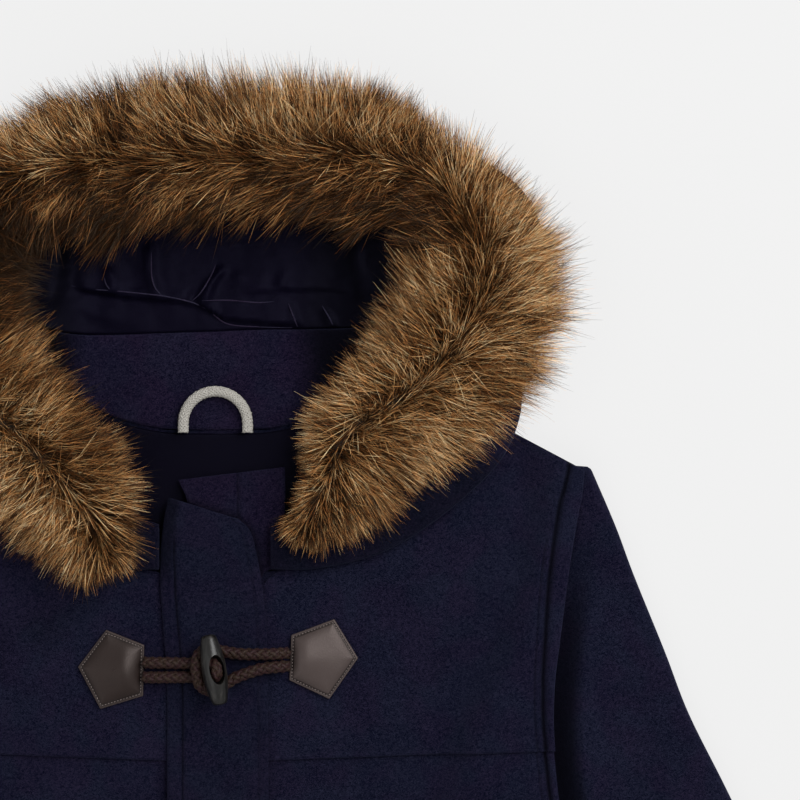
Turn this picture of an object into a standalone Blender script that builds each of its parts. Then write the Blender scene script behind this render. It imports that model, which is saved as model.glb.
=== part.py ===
"""Hooded duffle coat for a child of about six, laid flat on its back.

Metres, +Z up, +Y towards the hood, origin under the middle of the coat's box.
Pattern sizes below are in millimetres, from the middle of the back neck seam.
"""
import math

import bmesh
import bpy
from mathutils import Vector

MM = 0.001

# Driving sizes, in millimetres
WOOL = 2.5                 # melton wall
YOKE_WALL = 1.8
LINING_WALL = 1.2
SEAM = 0.4                 # air left between two pieces that touch
HEM_Y = -570.0
HOOD_TOP_Y = 160.0
SHOULDER_TIP = (164.0, -17.0)
SIDE_NECK = (76.0, 30.0)
CROWN = 3.0                # how far the fronts rise in the middle
CROWN_TOP_Y = 40.0         # that rise ends here and at the hem
CROWN_FADE = 90.0          # and fades over this length
SLEEVE_HEIGHT = 8.5
TUCK_RAMP = 20.0           # width over which the body climbs onto the sleeve
TUCK_MARGIN = 5.0          # how far from the sleeve's edge that climb ends
YOKE_SEAM_Y = -147.0
NECK_ROW_Y = -64.0         # top row of the fronts at their middle edge
GUARD_LEVEL_Y = -70.0      # above this the guard keeps its height
FACING_RISE = 5.0          # climb of the facing at its two ends
FACING_FLAT = 45.0         # half width that stays flat before that climb
LINING_RISE = 8.8          # climb of the lining into the hood's sides
LINING_FLAT = 50.0
LINING_CROWN_Y = 80.0      # the lining also climbs above this, by a share of its rise
LINING_CROWN_SHARE = 0.35
CORD_RADIUS = 2.75
LOOP_RADIUS = 2.6
TOGGLE_LENGTH = 31.5
TOGGLE_GIRTH = 5.5         # largest radius of the toggle
TOGGLE_TURN = math.radians(10.0)
TOGGLE_LEAN = 0.30         # how far its hole leans sideways for each millimetre up
TOGGLE_RISE = 0.8          # its middle is this far above its row, towards the hood
TOGGLE_ROWS = (-105.5, -235.5, -365.5)
CORD_RAMP = (10.0, 8.0)    # where a cord leaves the placket, and how fast it drops
CENTRE_Y = (HEM_Y + HOOD_TOP_Y) / 2

# Side seam and armhole of the body, hem to shoulder tip: (x, y)
BODY_SIDE = (
    (206.0, HEM_Y), (200.0, -500.0), (193.5, -428.0), (188.5, -376.0), (184.0, -322.0),
    (179.5, -268.0), (175.0, -216.0), (168.0, -194.0), (155.0, -172.0), (151.0, YOKE_SEAM_Y),
    (150.3, -132.0), (150.8, -112.0), (152.8, -95.0), (155.0, -78.0), (157.4, -60.0),
    (161.0, -38.0), (163.0, -28.0), SHOULDER_TIP,
)
# Middle edge of a front, then its neckline: (x, y)
FRONT_MIDDLE = (
    (0.5, HEM_Y), (0.5, -500.0), (0.5, -428.0), (0.5, -376.0), (0.5, -322.0),
    (0.5, -268.0), (0.5, -216.0), (0.5, -194.0), (0.5, -172.0), (0.5, YOKE_SEAM_Y),
    (0.5, -128.0), (0.5, -100.0), (0.5, NECK_ROW_Y), (30.0, -61.0), (56.0, -55.0),
    (70.0, -32.0), (75.0, 0.0), SIDE_NECK,
)
# Middle of the back, then its neckline: (x, y)
BACK_MIDDLE = (
    (0.0, HEM_Y), (0.0, -500.0), (0.0, -428.0), (0.0, -376.0), (0.0, -322.0),
    (0.0, -268.0), (0.0, -216.0), (0.0, -194.0), (0.0, -172.0), (0.0, YOKE_SEAM_Y),
    (0.0, -128.0), (0.0, -100.0), (0.0, -60.0), (0.0, 0.0), (26.0, 1.0), (50.0, 8.0),
    (68.0, 20.0), SIDE_NECK,
)
# Edges of the placket, hem to top: (x, y)
PLACKET_LEFT = (
    (-21.3, -569.0), (-21.4, -112.0), (-23.2, -86.0), (-24.2, -71.0), (-24.3, -55.0),
    (-23.0, -41.0), (-20.7, -29.0),
)
PLACKET_RIGHT = (
    (23.8, -569.0), (23.8, -190.0), (23.8, -150.0), (23.5, -113.0), (23.0, -88.0),
    (21.5, -72.0), (19.2, -57.5), (15.9, -44.5), (10.5, -38.6),
)
# Edges of the inner guard behind the placket, hem to top: (x, y)
GUARD_LEFT = ((-12.0, -566.0), (-12.0, -62.0), (-12.0, -55.0), (-12.2, -33.0), (-16.4, -21.3))
GUARD_RIGHT = ((20.0, -566.0), (20.5, -62.0), (29.5, -55.0), (31.0, -34.0), (31.0, -15.5))
# Sleeve, shoulder to cuff: inner edge (x, y) and outer edge (x, y)
SLEEVE_ROWS = (
    ((158.6, -15.0), (166.9, -15.6)), ((158.8, -38.0), (178.2, -42.0)),
    ((154.6, -60.0), (186.4, -64.0)), ((144.0, -95.0), (200.2, -98.0)),
    ((126.0, -132.0), (211.0, -126.0)), ((116.0, -172.0), (228.0, -160.0)),
    ((128.0, -216.0), (248.0, -202.0)), ((150.0, -268.0), (271.0, -252.0)),
    ((174.0, -322.0), (291.0, -303.0)), ((197.0, -376.0), (308.0, -354.0)),
    ((219.0, -428.0), (324.0, -404.0)),
)
# Hood back, half: edge on the back neckline (x, y), edge on the hood side (x, y)
HOOD_BACK_ROWS = (
    ((0.0, 0.8), (0.0, 112.4)), ((26.0, 1.8), (20.0, 111.4)), ((50.0, 8.8), (42.0, 107.4)),
    ((68.0, 20.9), (65.6, 99.5)), ((75.4, 31.0), (83.4, 87.4)), ((80.0, 46.0), (89.0, 72.0)),
)
# Hood side, front corner to crown: edge sewn to neck or hood back (x, y), outer
# fold (x, y), edge under the trim (x, y), heights of the lower and the upper layer
HOOD_ROWS = (
    ((24.8, -43.0), (24.8, -60.0), (24.8, -41.0), 11.0, 14.0),
    ((40.0, -40.0), (46.0, -59.5), (38.0, -36.0), 11.0, 14.0),
    ((58.0, -30.0), (74.0, -52.0), (54.0, -24.0), 11.0, 14.4),
    ((69.0, -14.0), (100.0, -36.0), (66.0, -6.0), 11.0, 15.0),
    ((77.0, 4.0), (124.0, -14.0), (78.0, 10.0), 11.0, 15.6),
    ((80.0, 20.0), (134.5, 6.0), (90.0, 28.0), 11.0, 16.2),
    ((84.0, 36.0), (138.0, 30.0), (102.0, 46.0), 10.4, 16.8),
    ((89.0, 54.0), (147.0, 56.0), (108.0, 64.0), 5.0, 17.2),
    ((90.0, 73.0), (146.0, 82.0), (104.0, 86.0), 0.4, 17.6),
    ((84.4, 88.0), (134.0, 108.0), (90.0, 101.0), 0.0, 18.0),
    ((66.4, 100.2), (106.0, 128.0), (68.0, 112.0), 0.0, 18.0),
    ((42.4, 108.2), (70.0, 142.0), (44.0, 122.0), 0.0, 18.0),
    ((20.4, 112.2), (34.0, 147.0), (22.0, 126.0), 0.0, 18.0),
    ((0.3, 113.2), (0.3, 148.0), (0.3, 127.0), 0.0, 18.0),
)
# Hood lining, half: lower edge (x, y), upper edge (x, y)
LINING_ROWS = (
    ((0.0, 46.0), (0.0, 122.0)), ((22.0, 46.4), (24.0, 120.0)), ((44.0, 46.6), (48.0, 114.0)),
    ((62.0, 47.2), (72.0, 104.0)), ((76.0, 49.5), (91.0, 94.0)), ((83.5, 57.0), (100.0, 85.0)),
)
# Neck facing inside the hood, half: edge on the neck seam (x, y), upper edge (x, y)
FACING_ROWS = (
    ((0.0, 1.0), (0.0, 45.2)), ((24.0, 1.8), (22.0, 45.6)), ((46.0, 7.0), (44.0, 45.8)),
    ((62.0, 16.0), (60.0, 46.2)), ((71.0, 26.0), (72.0, 47.6)),
)
# Inside of the back below the neck seam, half: lower edge (x, y), upper edge (x, y)
NECK_STAY_ROWS = (
    ((0.0, -60.0), (0.0, -0.8)), ((20.0, -58.5), (24.0, 0.0)), ((40.0, -54.5), (46.0, 5.4)),
    ((55.0, -46.0), (60.0, 13.6)), ((65.0, -30.0), (69.0, 19.6)),
)
# Fur trim: inner edge (x, y), outer edge (x, y), underside. Its two lower ends
# hang unevenly; above them the sides match, from over the shoulder to the crown
TRIM_LOWER_RIGHT = (
    ((34.0, -57.0), (50.0, -58.5), 17.4), ((29.0, -48.0), (66.0, -55.0), 17.6),
    ((30.5, -34.0), (82.0, -48.5), 18.0), ((32.5, -16.0), (97.0, -33.0), 18.5),
    ((34.5, 2.0), (111.0, -17.5), 19.0), ((41.0, 19.0), (126.0, -1.5), 19.5),
)
TRIM_LOWER_LEFT = (
    ((36.0, -74.0), (54.0, -79.0), 17.2), ((28.0, -60.0), (74.0, -72.0), 17.4),
    ((28.5, -40.0), (91.0, -56.0), 18.0), ((30.0, -20.0), (103.0, -37.0), 18.5),
    ((34.0, -1.0), (114.0, -19.5), 19.0), ((45.0, 14.0), (128.0, -1.5), 19.5),
)
TRIM_UPPER = (
    ((53.0, 34.0), (144.0, 19.0), 20.0), ((66.0, 51.0), (154.5, 40.0), 20.6),
    ((74.0, 64.0), (159.5, 62.0), 20.9), ((75.5, 74.0), (155.5, 86.0), 20.9),
    ((69.0, 79.0), (141.0, 109.0), 20.9), ((57.0, 84.0), (122.0, 125.0), 20.9),
    ((42.0, 89.0), (98.0, 141.0), 20.9), ((27.0, 92.0), (68.0, 153.0), 20.9),
    ((13.0, 93.5), (34.0, 158.5), 20.9), ((0.0, 93.5), (0.0, HOOD_TOP_Y), 20.9),
)
TRIM_HEIGHT = 30.0
TRIM_FULL_WIDTH = 60.0     # narrower than this, the trim is lower too
# Section of the trim: across, in half widths, and up, in heights
TRIM_SECTION = (
    (-1.0, 0.14), (-0.8, 0.0), (0.8, 0.0), (1.0, 0.14), (0.94, 0.5),
    (0.66, 0.82), (0.22, 1.0), (-0.22, 1.0), (-0.66, 0.82), (-0.94, 0.5),
)
# Largest soft folds of the fronts: start (x, y), end (x, y), height, half width
FRONT_FOLDS = (
    ((118.0, -57.0), (100.0, -125.0), -0.9, 17.0),
    ((96.0, -40.0), (84.0, -84.0), 0.7, 18.0),
    ((60.0, -430.0), (72.0, -560.0), 1.0, 24.0),
    ((130.0, -400.0), (150.0, -540.0), -0.8, 22.0),
    ((110.0, -230.0), (60.0, -300.0), 0.6, 24.0),
)
# Creases of the hood lining: start (x, y), end (x, y), height, half width
LINING_FOLDS = (
    ((-62.0, 61.0), (36.0, 52.0), 2.6, 7.0), ((-28.0, 90.0), (-24.0, 58.0), 2.2, 6.0),
    ((-50.0, 72.0), (-46.0, 62.0), 1.4, 5.0), ((0.0, 76.0), (-6.0, 58.0), 2.0, 6.0),
    ((28.0, 70.0), (30.0, 60.0), 1.4, 6.0), ((40.0, 88.0), (58.0, 62.0), 1.8, 7.0),
)
# Leather patches, corners from the toggle's row: (x, y)
RIGHT_PATCH = ((33.8, 15.3), (52.9, 22.4), (63.5, 5.1), (50.7, -13.1), (32.9, -4.7))
LEFT_PATCH = ((-31.5, 10.9), (-48.4, 17.6), (-60.9, 1.2), (-51.0, -17.5), (-32.0, -11.7))
PATCH_WALL = 1.7
PATCH_BEVEL = 0.5
# Routes of the cords from the toggle's row: x, y, height over what they lie on
TOGGLE_CORD_ROUTE = (
    (-31.0, 3.2, 0.0), (-26.0, 3.2, 0.0), (-20.0, 3.2, 0.2), (-14.0, 3.1, 0.2), (-8.0, 3.1, 0.1),
    (-4.4, 3.0, 0.7), (-1.9, 3.3, 4.2), (-1.0, 3.6, 8.4), (-0.1, 3.2, 11.4), (0.6, 0.8, 12.6),
    (0.7, -1.6, 11.4), (-0.2, -2.1, 8.4), (-1.3, -2.2, 4.2), (-4.0, -2.5, 0.6),
    (-8.0, -2.9, 0.1), (-14.0, -3.0, 0.2), (-20.0, -3.1, 0.2), (-26.0, -3.2, 0.0),
    (-31.3, -3.3, 0.0),
)
LOOP_CORD_ROUTE = (
    (32.4, 7.5, 0.0), (26.0, 7.2, 0.4), (19.0, 7.1, 0.4), (12.0, 7.2, 0.4), (6.0, 7.9, 0.5),
    (1.0, 9.1, 0.8), (-3.0, 9.5, 2.4), (-6.7, 7.2, 4.9), (-7.8, 2.8, 6.4), (-7.5, -1.8, 6.4),
    (-6.2, -6.3, 5.1), (-2.5, -8.8, 2.4), (1.4, -8.3, 0.8), (5.0, -6.0, 0.4),
    (9.0, -3.4, 0.4), (14.4, -1.3, 0.4), (21.0, 0.7, 0.4), (27.0, 1.4, 0.4), (32.4, 1.7, 0.0),
)
TOGGLE_LIFT = 13.8         # middle of the toggle over the placket
# Toggle, end to end: place on its length and radius, as shares
TOGGLE_PROFILE = (
    (-1.0, 0.30), (-0.97, 0.46), (-0.86, 0.62), (-0.60, 0.82), (-0.30, 0.96), (0.0, 1.0),
    (0.30, 0.96), (0.60, 0.82), (0.86, 0.62), (0.97, 0.46), (1.0, 0.30),
)
TOGGLE_HOLE = (3.8, 6.9)   # half width and half length of the oval hole
LOCKER_ARC = (14.3, 3.8)   # radius of the loop's arc and height of its middle

# Middle edge of each yoke, beside the inner guard
GUARD_EDGE = {"right": 20.6, "left": 12.6}

WOOL_BLUE = ("navy_wool", (0.010, 0.011, 0.024), 0.92)
LINING_BLUE = ("navy_lining", (0.005, 0.005, 0.012), 0.6)
FUR_BROWN = ("brown_fur", (0.14, 0.075, 0.032), 0.8)
LEATHER_BROWN = ("brown_leather", (0.055, 0.036, 0.033), 0.45)
CORD_BROWN = ("brown_cord", (0.028, 0.013, 0.013), 0.85)
HORN_GREY = ("dark_horn", (0.030, 0.026, 0.025), 0.3)
LOOP_GREY = ("grey_cord", (0.22, 0.21, 0.20), 0.7)


def clear_scene():
    for obj in list(bpy.data.objects):
        bpy.data.objects.remove(obj, do_unlink=True)


def material(finish):
    name, colour, roughness = finish
    made = bpy.data.materials.get(name)
    if made is None:
        made = bpy.data.materials.new(name)
        made.use_nodes = True
        shader = made.node_tree.nodes["Principled BSDF"]
        shader.inputs["Base Color"].default_value = (*colour, 1.0)
        shader.inputs["Roughness"].default_value = roughness
        shader.inputs["Metallic"].default_value = 0.0
    return made


def to_world(x, y, z):
    return Vector((x, y - CENTRE_Y, z)) * MM


def finish_mesh(name, bm, finish, smooth_angle=40.0):
    """Closes a bmesh into a named object whose faces point outwards."""
    bmesh.ops.recalc_face_normals(bm, faces=bm.faces)
    if bm.calc_volume(signed=True) < 0.0:
        bmesh.ops.reverse_faces(bm, faces=bm.faces)
    mesh = bpy.data.meshes.new(name)
    bm.to_mesh(mesh)
    bm.free()
    mesh.shade_smooth()
    mesh.set_sharp_from_angle(angle=math.radians(smooth_angle))
    obj = bpy.data.objects.new(name, mesh)
    obj.data.materials.append(material(finish))
    bpy.context.collection.objects.link(obj)
    return obj


def smooth_step(value):
    value = min(max(value, 0.0), 1.0)
    return value * value * (3.0 - 2.0 * value)


def between(a, b, t):
    return tuple(p + (q - p) * t for p, q in zip(a, b))


def along(rows, y):
    """x of a table of (x, y) points where it crosses height y."""
    for (xa, ya), (xb, yb) in zip(rows, rows[1:]):
        if min(ya, yb) <= y <= max(ya, yb) and ya != yb:
            return xa + (xb - xa) * (y - ya) / (yb - ya)
    return rows[0][0] if abs(y - rows[0][1]) < abs(y - rows[-1][1]) else rows[-1][0]


def fold_height(folds, x, y):
    """Sum of the soft ridges and troughs of a table at one point."""
    height = 0.0
    for start, end, rise, half_width in folds:
        dx = end[0] - start[0]
        dy = end[1] - start[1]
        length = math.hypot(dx, dy)
        t = ((x - start[0]) * dx + (y - start[1]) * dy) / length ** 2
        across = abs((x - start[0]) * dy - (y - start[1]) * dx) / length
        fade = smooth_step((t + 0.25) / 0.4) * smooth_step((1.25 - t) / 0.4)
        height += rise * fade * math.exp(-(across / half_width) ** 2)
    return height


SLEEVE_INNER = tuple(row[0] for row in SLEEVE_ROWS)


def tuck_lift(x, y):
    """How far the body stands off the floor, because the sleeve lies under it."""
    if y < SLEEVE_INNER[-1][1]:
        return 0.0
    foot = along(SLEEVE_INNER, y) - TUCK_MARGIN - TUCK_RAMP
    return (SLEEVE_HEIGHT + SEAM) * smooth_step((abs(x) - foot) / TUCK_RAMP)


def back_base(x, y):
    return tuck_lift(x, y)


def front_base(x, y):
    width = along(BODY_SIDE, y)
    middle = max(0.0, 1.0 - (x / width) ** 2)
    ends = smooth_step((y - HEM_Y) / CROWN_FADE) * smooth_step((CROWN_TOP_Y - y) / CROWN_FADE)
    crown = CROWN * middle * ends
    return back_base(x, y) + WOOL + SEAM + crown + fold_height(FRONT_FOLDS, abs(x), y) * middle


def front_top(x, y):
    return front_base(x, y) + WOOL


def yoke_base(x, y):
    return front_top(x, y) + SEAM


def yoke_top(x, y):
    return yoke_base(x, y) + YOKE_WALL


def chest_top(x, y):
    """Top of whatever covers the chest: the yoke, or the front below its seam."""
    return yoke_top(x, y) if y > YOKE_SEAM_Y else front_top(x, y)


def flat_on_back(x, y):
    return WOOL + SEAM


def hood_floor(x, y):
    return 0.0


def facing_base(x, y):
    return WOOL + SEAM + FACING_RISE * smooth_step((abs(x) - FACING_FLAT) / 30.0)


def lining_base(x, y):
    """The lining lies on the hood back and climbs inside the hood's sides."""
    sides = smooth_step((abs(x) - LINING_FLAT) / 34.0)
    top = LINING_CROWN_SHARE * smooth_step((y - LINING_CROWN_Y) / 40.0)
    rise = LINING_RISE * max(sides, top)
    return WOOL + SEAM + rise + max(0.0, fold_height(LINING_FOLDS, x, y))


def guard_base(x, y):
    return front_top(x, min(y, GUARD_LEVEL_Y)) + SEAM


def placket_base(x, y):
    return guard_base(x, y) + YOKE_WALL + SEAM


def placket_top(x, y):
    return placket_base(x, y) + WOOL


def sheet_solid(name, grids, base, thickness, finish):
    """A cloth wall: grids of (x, y) points, merged, on the height base(x, y)."""
    places = {}
    triangles = []
    for grid in grids:
        numbers = [[places.setdefault((round(x, 3), round(y, 3)), len(places)) for x, y in row]
                   for row in grid]
        for row, following in zip(numbers, numbers[1:]):
            for a, b, c, d in zip(row, row[1:], following[1:], following):
                triangles += [(a, b, c), (a, c, d)]
    bm = bmesh.new()
    low = [bm.verts.new(to_world(x, y, base(x, y))) for x, y in places]
    high = [bm.verts.new(to_world(x, y, base(x, y) + thickness)) for x, y in places]
    used = {}
    for triangle in triangles:
        bm.faces.new([high[k] for k in triangle])
        bm.faces.new([low[k] for k in reversed(triangle)])
        for a, b in zip(triangle, triangle[1:] + triangle[:1]):
            key = (min(a, b), max(a, b))
            used.setdefault(key, []).append((a, b))
    for pairs in used.values():
        if len(pairs) == 1:
            a, b = pairs[0]
            bm.faces.new((low[a], low[b], high[b], high[a]))
    return finish_mesh(name, bm, finish)


def ruled_grid(left, right, columns, side=1.0):
    """Rows of points, evenly spaced from each left point to its right point."""
    return [[(side * x, y) for x, y in (between(a, b, j / columns) for j in range(columns + 1))]
            for a, b in zip(left, right)]


def both_halves(left, right, columns):
    return [ruled_grid(left, right, columns, side) for side in (1.0, -1.0)]


def body_grid(middle, columns, side):
    """Rows of a body panel: even columns, then closer ones where it climbs the sleeve."""
    grid = []
    for start, edge in zip(middle, BODY_SIDE):
        top = min(along(SLEEVE_INNER, edge[1]) - TUCK_MARGIN, edge[0] - 2.0)
        foot = (top - TUCK_RAMP, edge[1])
        row = [between(start, foot, j / columns) for j in range(columns)]
        row += [between(foot, (top, edge[1]), j / 4) for j in range(4)]
        row += [(top, edge[1]), edge]
        grid.append([(side * x, y) for x, y in row])
    return grid


def point_at(row, x):
    """The point of a row of points where it crosses x, or its first point."""
    for a, b in zip(row, row[1:]):
        if abs(a[0]) <= x <= abs(b[0]):
            return between(a, b, (x - abs(a[0])) / (abs(b[0]) - abs(a[0])))
    return row[0]


def strip_grid(left, right, columns):
    """Rows of a strip down the front, at the rows of the fronts, then up to its top."""
    heights = [left[0][1]] + [y for x, y in FRONT_MIDDLE if x < 1.0 and HEM_Y < y <= NECK_ROW_Y]
    ends = [((along(left, y), y), (along(right, y), y)) for y in heights]
    upper_left = [point for point in left if point[1] > NECK_ROW_Y]
    upper_right = [point for point in right if point[1] > NECK_ROW_Y]
    ends += zip(upper_left, upper_right)
    return [[between(a, b, j / columns) for j in range(columns + 1)] for a, b in ends]


def split_rows(rows):
    """The first and the second column of a table of point pairs."""
    return [row[0] for row in rows], [row[1] for row in rows]


def loft_solid(name, rings, finish):
    """Joins equal rings of points into one tube and closes its two ends."""
    bm = bmesh.new()
    made = [[bm.verts.new(to_world(*point)) for point in ring] for ring in rings]
    count = len(rings[0])
    for ring, following in zip(made, made[1:]):
        for k in range(count):
            m = (k + 1) % count
            bm.faces.new((ring[k], ring[m], following[m], following[k]))
    bm.faces.new(made[0])
    bm.faces.new(list(reversed(made[-1])))
    return finish_mesh(name, bm, finish)


def make_back():
    halves = [body_grid(BACK_MIDDLE, 4, side) for side in (1.0, -1.0)]
    sheet_solid("back_panel", halves, back_base, WOOL, WOOL_BLUE)
    low, high = split_rows(NECK_STAY_ROWS)
    sheet_solid("back_neck_stay", both_halves(low, high, 3), flat_on_back, LINING_WALL,
                LINING_BLUE)


def make_fronts():
    seam_row = [y for x, y in FRONT_MIDDLE].index(YOKE_SEAM_Y)
    for name, side in (("right", 1.0), ("left", -1.0)):
        front = body_grid(FRONT_MIDDLE, 5, side)
        sheet_solid("front_" + name, [front], front_base, WOOL, WOOL_BLUE)
        yoke = [[point_at(row, GUARD_EDGE[name])] + row[2:] for row in front[seam_row:]]
        sheet_solid("yoke_" + name, [yoke], yoke_base, YOKE_WALL, WOOL_BLUE)


def make_placket():
    guard = strip_grid(GUARD_LEFT, GUARD_RIGHT, 3)
    sheet_solid("inner_guard", [guard], guard_base, YOKE_WALL, WOOL_BLUE)
    placket = strip_grid(PLACKET_LEFT, PLACKET_RIGHT, 4)
    sheet_solid("placket", [placket], placket_base, WOOL, WOOL_BLUE)


def tube_ring(inner, outer, inset):
    """Section of a flattened tube between two points, drawn in by the wall."""
    half = math.dist(inner, outer) / 2 - inset
    centre = between(inner, outer, 0.5)
    across = Vector((outer[0] - inner[0], outer[1] - inner[1])).normalized()
    bend = min(0.7 * half, SLEEVE_HEIGHT / 2 - inset)
    ring = []
    for side in (1.0, -1.0):
        for step in range(5):
            angle = math.radians(-90 + 45 * step) * side
            out = side * (half - bend) + side * bend * math.cos(angle)
            up = SLEEVE_HEIGHT / 2 + (SLEEVE_HEIGHT / 2 - inset) * math.sin(angle)
            ring.append((centre[0] + across.x * out, centre[1] + across.y * out, up))
    return ring


def make_sleeve(name, side):
    """An open tube, flattened, with its wall on both faces."""
    bm = bmesh.new()
    walls = []
    for inset in (0.0, WOOL):
        walls.append([[bm.verts.new(to_world(side * x, y, z)) for x, y, z in
                       tube_ring(inner, outer, inset)] for inner, outer in SLEEVE_ROWS])
    outside, inside = walls
    count = len(outside[0])
    for k in range(count):
        m = (k + 1) % count
        for i in range(len(SLEEVE_ROWS) - 1):
            a, b = outside[i], outside[i + 1]
            bm.faces.new((a[k], a[m], b[m], b[k]))
            a, b = inside[i], inside[i + 1]
            bm.faces.new((a[m], a[k], b[k], b[m]))
        for i in (0, -1):
            a, b = outside[i], inside[i]
            bm.faces.new((a[k], b[k], b[m], a[m]) if i == 0 else (a[m], b[m], b[k], a[k]))
    finish_mesh(name, bm, WOOL_BLUE)


def hood_section(inner, outer, rim, low, high, side):
    """A C lying open towards the face: lower layer, outer fold, upper layer."""
    away = Vector((outer[0] - inner[0], outer[1] - inner[1])).normalized()
    turned_in = (outer[0] - away.x * WOOL, outer[1] - away.y * WOOL)
    bulged = (outer[0] + away.x * 1.5, outer[1] + away.y * 1.5)
    middle = (low + high + WOOL) / 2
    ring = (
        (*inner, low), (*outer, low), (*bulged, middle), (*outer, high + WOOL),
        (*rim, high + WOOL), (*rim, high), (*turned_in, high),
        (*turned_in, low + WOOL), (*inner, low + WOOL),
    )
    return [(side * x, y, z) for x, y, z in ring]


def make_hood():
    low, high = split_rows(HOOD_BACK_ROWS)
    sheet_solid("hood_back", both_halves(low, high, 6), hood_floor, WOOL, WOOL_BLUE)
    for name, side in (("right", 1.0), ("left", -1.0)):
        rings = [hood_section(*row, side) for row in HOOD_ROWS]
        loft_solid("hood_side_" + name, rings, WOOL_BLUE)
    low, high = split_rows(LINING_ROWS)
    sheet_solid("hood_lining", both_halves(low, high, 9), lining_base, LINING_WALL, LINING_BLUE)
    low, high = split_rows(FACING_ROWS)
    sheet_solid("neck_facing", both_halves(low, high, 4), facing_base, WOOL, WOOL_BLUE)


def make_trim():
    """The solid that the fur reaches, from one front corner round to the other."""
    right = TRIM_LOWER_RIGHT + TRIM_UPPER
    left = TRIM_LOWER_LEFT + TRIM_UPPER[:-1]
    sections = [(inner, outer, base, 1.0) for inner, outer, base in right]
    sections += [(inner, outer, base, -1.0) for inner, outer, base in reversed(left)]
    rings = []
    for inner, outer, base, side in sections:
        height = TRIM_HEIGHT * min(1.0, math.dist(inner, outer) / TRIM_FULL_WIDTH)
        ring = []
        for across, up in TRIM_SECTION:
            x, y = between(inner, outer, 0.5 + 0.5 * across)
            ring.append((x * side, y, base + height * up))
        rings.append(ring)
    loft_solid("fur_trim", rings, FUR_BROWN)


def smooth_route(points, count):
    """Evenly spaced points on a Catmull-Rom curve through the points of a route."""
    knots = [Vector(p) for p in points]
    knots = [knots[0] * 2 - knots[1]] + knots + [knots[-1] * 2 - knots[-2]]
    fine = []
    steps = 12
    for a, b, c, d in zip(knots, knots[1:], knots[2:], knots[3:]):
        for step in range(steps):
            t = step / steps
            fine.append(0.5 * (2 * b + (c - a) * t + (2 * a - 5 * b + 4 * c - d) * t ** 2
                               + (3 * b - a - 3 * c + d) * t ** 3))
    fine.append(knots[-2])
    lengths = [0.0]
    for p, q in zip(fine, fine[1:]):
        lengths.append(lengths[-1] + (q - p).length)
    route = []
    for k in range(count):
        wanted = lengths[-1] * k / (count - 1)
        i = next((n for n, reached in enumerate(lengths[1:]) if reached >= wanted - 1e-9), 0)
        share = (wanted - lengths[i]) / (lengths[i + 1] - lengths[i])
        route.append(fine[i].lerp(fine[i + 1], share))
    return route


def make_cord(name, route, radius, count, finish):
    curve = bpy.data.curves.new(name, "CURVE")
    curve.dimensions = "3D"
    curve.bevel_depth = radius * MM
    curve.bevel_resolution = 2
    curve.use_fill_caps = True
    spline = curve.splines.new("POLY")
    points = smooth_route(route, count)
    spline.points.add(len(points) - 1)
    for place, point in zip(spline.points, points):
        place.co = (*to_world(*point), 1.0)
    curve.materials.append(material(finish))
    obj = bpy.data.objects.new(name, curve)
    bpy.context.collection.objects.link(obj)


def make_locker_loop():
    """A round cord arched on the facing, its two ends at the neck seam."""
    radius, middle = LOCKER_ARC
    height = facing_base(0.0, 0.0) + WOOL + SEAM + LOOP_RADIUS
    route = [(radius, -0.2, height), (radius, middle / 2, height)]
    for step in range(13):
        angle = math.pi * step / 12
        route.append((radius * math.cos(angle), middle + radius * math.sin(angle), height))
    route += [(-radius, middle / 2, height), (-radius, -0.2, height)]
    make_cord("locker_loop", route, LOOP_RADIUS, 21, LOOP_GREY)


def make_patch(name, corners, row):
    """A leather pentagon with a bevelled upper edge, on the cloth under it."""
    bm = bmesh.new()
    rings = []
    centre = Vector([sum(c[k] for c in corners) / len(corners) for k in range(2)])
    for rise, inset in ((0.0, 0.0), (PATCH_WALL - PATCH_BEVEL, 0.0), (PATCH_WALL, PATCH_BEVEL)):
        ring = []
        for corner in corners:
            place = Vector(corner) + (centre - Vector(corner)).normalized() * inset
            x, y = place.x, place.y + row
            ring.append(bm.verts.new(to_world(x, y, chest_top(x, y) + SEAM + rise)))
        rings.append(ring)
    for ring, above in zip(rings, rings[1:]):
        for k in range(len(ring)):
            m = (k + 1) % len(ring)
            bm.faces.new((ring[k], ring[m], above[m], above[k]))
    bm.faces.new(rings[0])
    bm.faces.new(rings[-1])
    finish_mesh(name, bm, LEATHER_BROWN, 20.0)


def make_toggle(name, row):
    """A turned barrel with an oval hole through its middle."""
    height = placket_top(0.0, row) + TOGGLE_LIFT
    along_axis = Vector((-math.sin(TOGGLE_TURN), math.cos(TOGGLE_TURN), 0.0))
    across_axis = Vector((math.cos(TOGGLE_TURN), math.sin(TOGGLE_TURN), 0.0))
    centre = Vector((0.0, row + TOGGLE_RISE, height))
    rings = []
    for place, share in TOGGLE_PROFILE:
        middle = centre + along_axis * place * TOGGLE_LENGTH / 2
        ring = []
        for step in range(14):
            angle = 2 * math.pi * step / 14
            out = across_axis * math.cos(angle) + Vector((0.0, 0.0, math.sin(angle)))
            ring.append(middle + out * TOGGLE_GIRTH * share)
        rings.append(ring)
    toggle = loft_solid(name, rings, HORN_GREY)
    hole_rings = []
    half_width, half_length = TOGGLE_HOLE
    for up in (-10.0, 10.0):
        ring = []
        for step in range(12):
            angle = 2 * math.pi * step / 12
            out = half_width * math.cos(angle) + TOGGLE_LEAN * up
            ring.append(centre + across_axis * out
                        + along_axis * half_length * math.sin(angle) + Vector((0.0, 0.0, up)))
        hole_rings.append(ring)
    cutter = loft_solid(name + "_cutter", hole_rings, HORN_GREY)
    cutter.hide_render = True
    cutter.display_type = "WIRE"
    cut = toggle.modifiers.new("hole", "BOOLEAN")
    cut.operation = "DIFFERENCE"
    cut.solver = "EXACT"
    cut.object = cutter


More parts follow.
